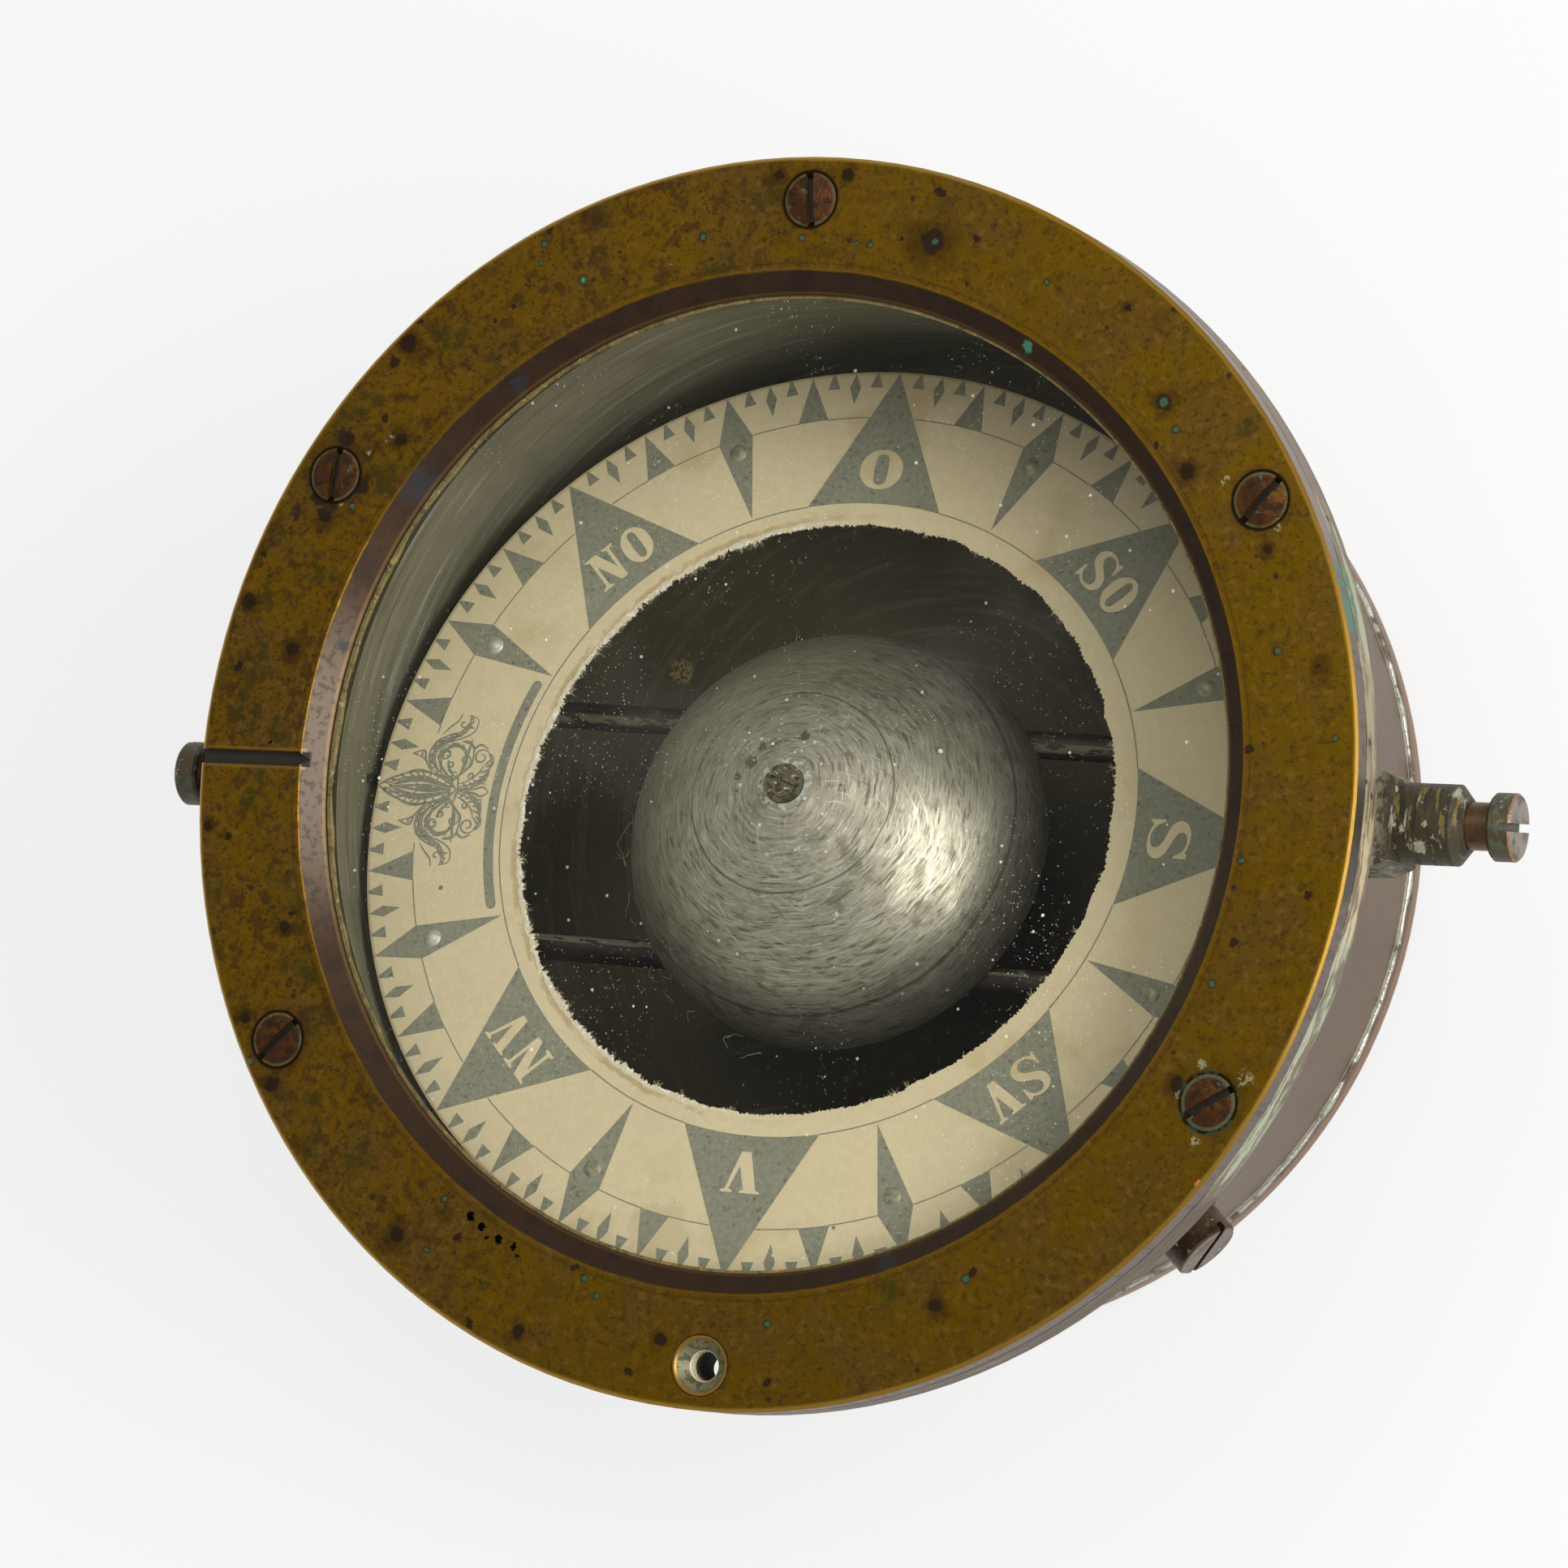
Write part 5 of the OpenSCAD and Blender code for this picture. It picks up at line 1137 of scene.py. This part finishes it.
chamfer = bezel.smooth(bezel_out, flat_radius, chamfer_radius)
bezel.cover(chamfer, (64, 45, 30), 0.46, 0.75)
bezel.cover(chamfer * bezel.patches(0.005, 0.46, 0.62, 5, 14) * 0.7, (46, 32, 23), 0.5, 0.65)
# Paler on the chamfer round 180 degrees: a paler patina, and a painted highlight of the right-hand
# lamp.
bezel.cover(chamfer * bezel.band(bezel.angle.maths("ABSOLUTE"), 171, 190, 14),
            (85, 74, 62), 0.44, 0.75)
bezel.cover(chamfer * bezel.patches(0.0012, 0.52, 0.6, 5, 20) * 0.45, (48, 36, 29), 0.5, 0.7)
chamfer_marks = [(145, 78.2, 7), (128, 77.6, 3), (166, 77.2, 3), (291.3, 78.4, 4)]
bezel.cover(chamfer * marks(chamfer_marks, 1.1, 0.5, 0.0012, 0.003, 15) * 0.8,
            (42, 42, 44), 0.5, 0.4)
bezel.cover(chamfer * marks([(60.5, 78.6, 2.2)], 1.0, 0.6, 0.0003, 0.0008, 7),
            (60, 132, 98), 0.8, 0.0)
# A painted highlight along the chamfer's inner edge.
bezel.cover(chamfer * bezel.band(bezel.radius, 0.0768, 0.07695, 0.0002) * 0.35,
            (132, 98, 42), 0.4, 0.9)
bezel.cover(bezel.smooth(bezel.radius, lip_radius, lip_radius - 0.0001), (58, 46, 28), 0.5, 0.5)

screw_seats = [(29.6 + 60 * k, 91.1, 8.8) for k in range(6)]
empty_seat = 4
seat = bezel.spots(screw_seats, 0.00008, 0.002, 16)
# Dark ring round each screw head: dirt in the gap, and painted shade between head and bezel.
bezel.cover(bezel.smooth(seat, 1.14, 1.04) * 0.95, (26, 18, 6), 0.6, 0.9)
hole = bezel.vector("DISTANCE", bezel.flat, empty_hole, "Value")
bezel.cover(bezel.band(hole, 0.0041, 0.0045, 0.0002), (150, 116, 52), 0.4, 0.8)
sink = bezel.smooth(hole, 0.0041, 0.0039)
bezel.cover(sink * bezel.smooth(bezel.z, bezel_top, 0.0828), (116, 114, 84), 0.5, 0.4)
bezel.cover(sink * bezel.patches(0.0012, 0.5, 0.6, 4, 17), (78, 74, 52), 0.6, 0.3)
bezel.cover(bezel.smooth(hole, 0.0025, 0.0024), (222, 214, 180), 0.5, 0.2)
green_screw = (0.07858, -0.0461, 0)
green_off = bezel.vector("DISTANCE", bezel.flat, green_screw, "Value")
green_ring = bezel.band(green_off, 0.0044, 0.0048, 0.0003)
bezel.cover(green_ring * bezel.patches(0.002, 0.5, 0.56, 3, 18) * 0.7, (40, 62, 44), 0.7, 0.4)

mark_off = bezel.y.maths("ABSOLUTE")
mark = bezel.smooth(mark_off, 0.00125, 0.0011) * bezel.smooth(bezel.x, -0.0785, -0.079)
bezel.cover(mark * bezel.smooth(bezel.z, 0.0829, 0.0826), (34, 30, 18), 0.7, 0.2)
mark_edge = bezel.band(mark_off, 0.0013, 0.0016, 0.0002) * bezel.smooth(bezel.x, -0.079, -0.0795)
bezel.cover(mark_edge * 0.5, (150, 112, 40), 0.4)
bezel.relief(bezel.turned(0.00022, 0.015, 3, 2), 0.000008).relief(bezel.noise(0.0006, 4), 0.00001)
bezel.dress(part["bezel_ring"])


# Bezel screws. Slotted countersunk brass screws with raised heads, gone red and purple, with
# verdigris round their rims and bright metal on the slots' flanks.
screw = Finish("screw_brass", (80, 50, 28), 0.3, 0.9)
screw.shade(screw.noise(0.0012, 5, 6), 0.75, 1.25)
screw.cover(screw.patches(0.0032, 0.5, 0.62) * 0.8, (96, 66, 22), 0.34)
screw.cover(screw.patches(0.0018, 0.5, 0.6, seed=2) * 0.85, (48, 31, 22), 0.42, 0.8)
screw.cover(screw.patches(0.0013, 0.64, 0.7, seed=3), (52, 76, 60), 0.7, 0.1)
screw_off = screw.spots(screw_seats[:empty_seat] + screw_seats[empty_seat + 1:], 0.00005, 0.002)
screw.cover(screw.smooth(screw_off, 0.84, 0.95) * screw.patches(0.0016, 0.42, 0.56, seed=4),
            (64, 70, 54), 0.6, 0.2)
screw_green = screw.vector("DISTANCE", screw.flat, green_screw, "Value")
screw.cover(screw.band(screw_green, 0.0038, 0.0042, 0.0002) * 0.6, (44, 78, 60), 0.6, 0.2)
# Dark outer rim of each head: dirt, and painted shade where it meets the bezel.
screw.cover(screw.smooth(screw_off, 0.9, 0.98) * 0.8, (34, 24, 12), 0.6, 0.8)
screw.cover(screw.smooth(screw.z, 0.0831, 0.0828), (164, 134, 62), 0.36, 0.9)
# Dark below the bezel's face, where the head sits in its countersink: dirt and painted shade.
screw.cover(screw.smooth(screw.z, 0.08245, 0.08235), (30, 25, 14), 0.6, 0.3)
screw.relief(screw.noise(0.0009, 5), 0.00012)
screw.dress(part["bezel_screws"])


# Studio. A pale table, a soft key light at the right that the dome mirrors, a weaker one above, and
# the camera of the picture.
bpy.ops.object.select_all(action="DESELECT")
bpy.ops.mesh.primitive_circle_add(vertices=128, radius=6, fill_type="NGON", location=(0, 0, 0))
table = bpy.context.object
table.name = "table"
cloth = Finish("table_white", (133, 133, 133), 0.9, 0.0)
seen = cloth.node("ShaderNodeLightPath")
rays = seen.socket.node.outputs
shown = Wire(cloth, rays["Is Camera Ray"]).maths("MAXIMUM", Wire(cloth, rays["Is Glossy Ray"]))
shown = shown.maths("MAXIMUM", Wire(cloth, rays["Is Transmission Ray"]))
glow = cloth.node("ShaderNodeEmission", None, {"Color": (1, 1, 1, 1), "Strength": 0.722})
matt = cloth.node("ShaderNodeBsdfDiffuse", None, {"Color": cloth.colour})
both = cloth.node("ShaderNodeAddShader", None, [glow, matt])
cloth.dress(table, surface=cloth.node("ShaderNodeMixShader", None, {0: shown, 1: matt, 2: both}))

world = bpy.data.worlds.new("studio")
bpy.context.scene.world = world
world.use_nodes = True
sky = world.node_tree
sky.nodes.clear()
sky_path = sky.nodes.new("ShaderNodeLightPath")
sky_mix = sky.nodes.new("ShaderNodeMixShader")
sky_out = sky.nodes.new("ShaderNodeOutputWorld")
sky.links.new(sky_path.outputs["Is Camera Ray"], sky_mix.inputs[0])
for number, strength in [(1, 0.5), (2, 0.94)]:  # what lights the compass, and what the camera sees
    sky_light = sky.nodes.new("ShaderNodeBackground")
    sky_light.inputs["Color"].default_value = (1, 1, 1, 1)
    sky_light.inputs["Strength"].default_value = strength
    sky.links.new(sky_light.outputs[0], sky_mix.inputs[number])
sky.links.new(sky_mix.outputs[0], sky_out.inputs[0])

light_aim = Vector((0, 0, 0.05))


def softbox(name, place, size, watts):
    """A rectangular lamp that points at the compass."""
    lamp = bpy.data.lights.new(name, "AREA")
    lamp.shape = "RECTANGLE"
    lamp.size, lamp.size_y = size
    lamp.energy = watts
    box = bpy.data.objects.new(name, lamp)
    box.location = place
    box.rotation_euler = (light_aim - Vector(place)).to_track_quat("-Z", "Y").to_euler()
    bpy.context.scene.collection.objects.link(box)


softbox("right_light", (0.98, 0.05, 0.74), (0.9, 0.4), 11.0)
softbox("top_light", (0.12, 0.55, 1.25), (0.7, 0.7), 3.5)

camera_data = bpy.data.cameras.new("camera")
camera_data.lens = 148.66
camera_data.sensor_width = 36
camera_data.clip_start = 0.05
camera_data.clip_end = 50
camera = bpy.data.objects.new("camera", camera_data)
camera.location = (0.414429, -0.106605, 0.988987)
camera.rotation_euler = (0.144818, 0.413513, 0.095541)
bpy.context.scene.collection.objects.link(camera)
bpy.context.scene.camera = camera
bpy.context.scene.view_settings.view_transform = "Standard"
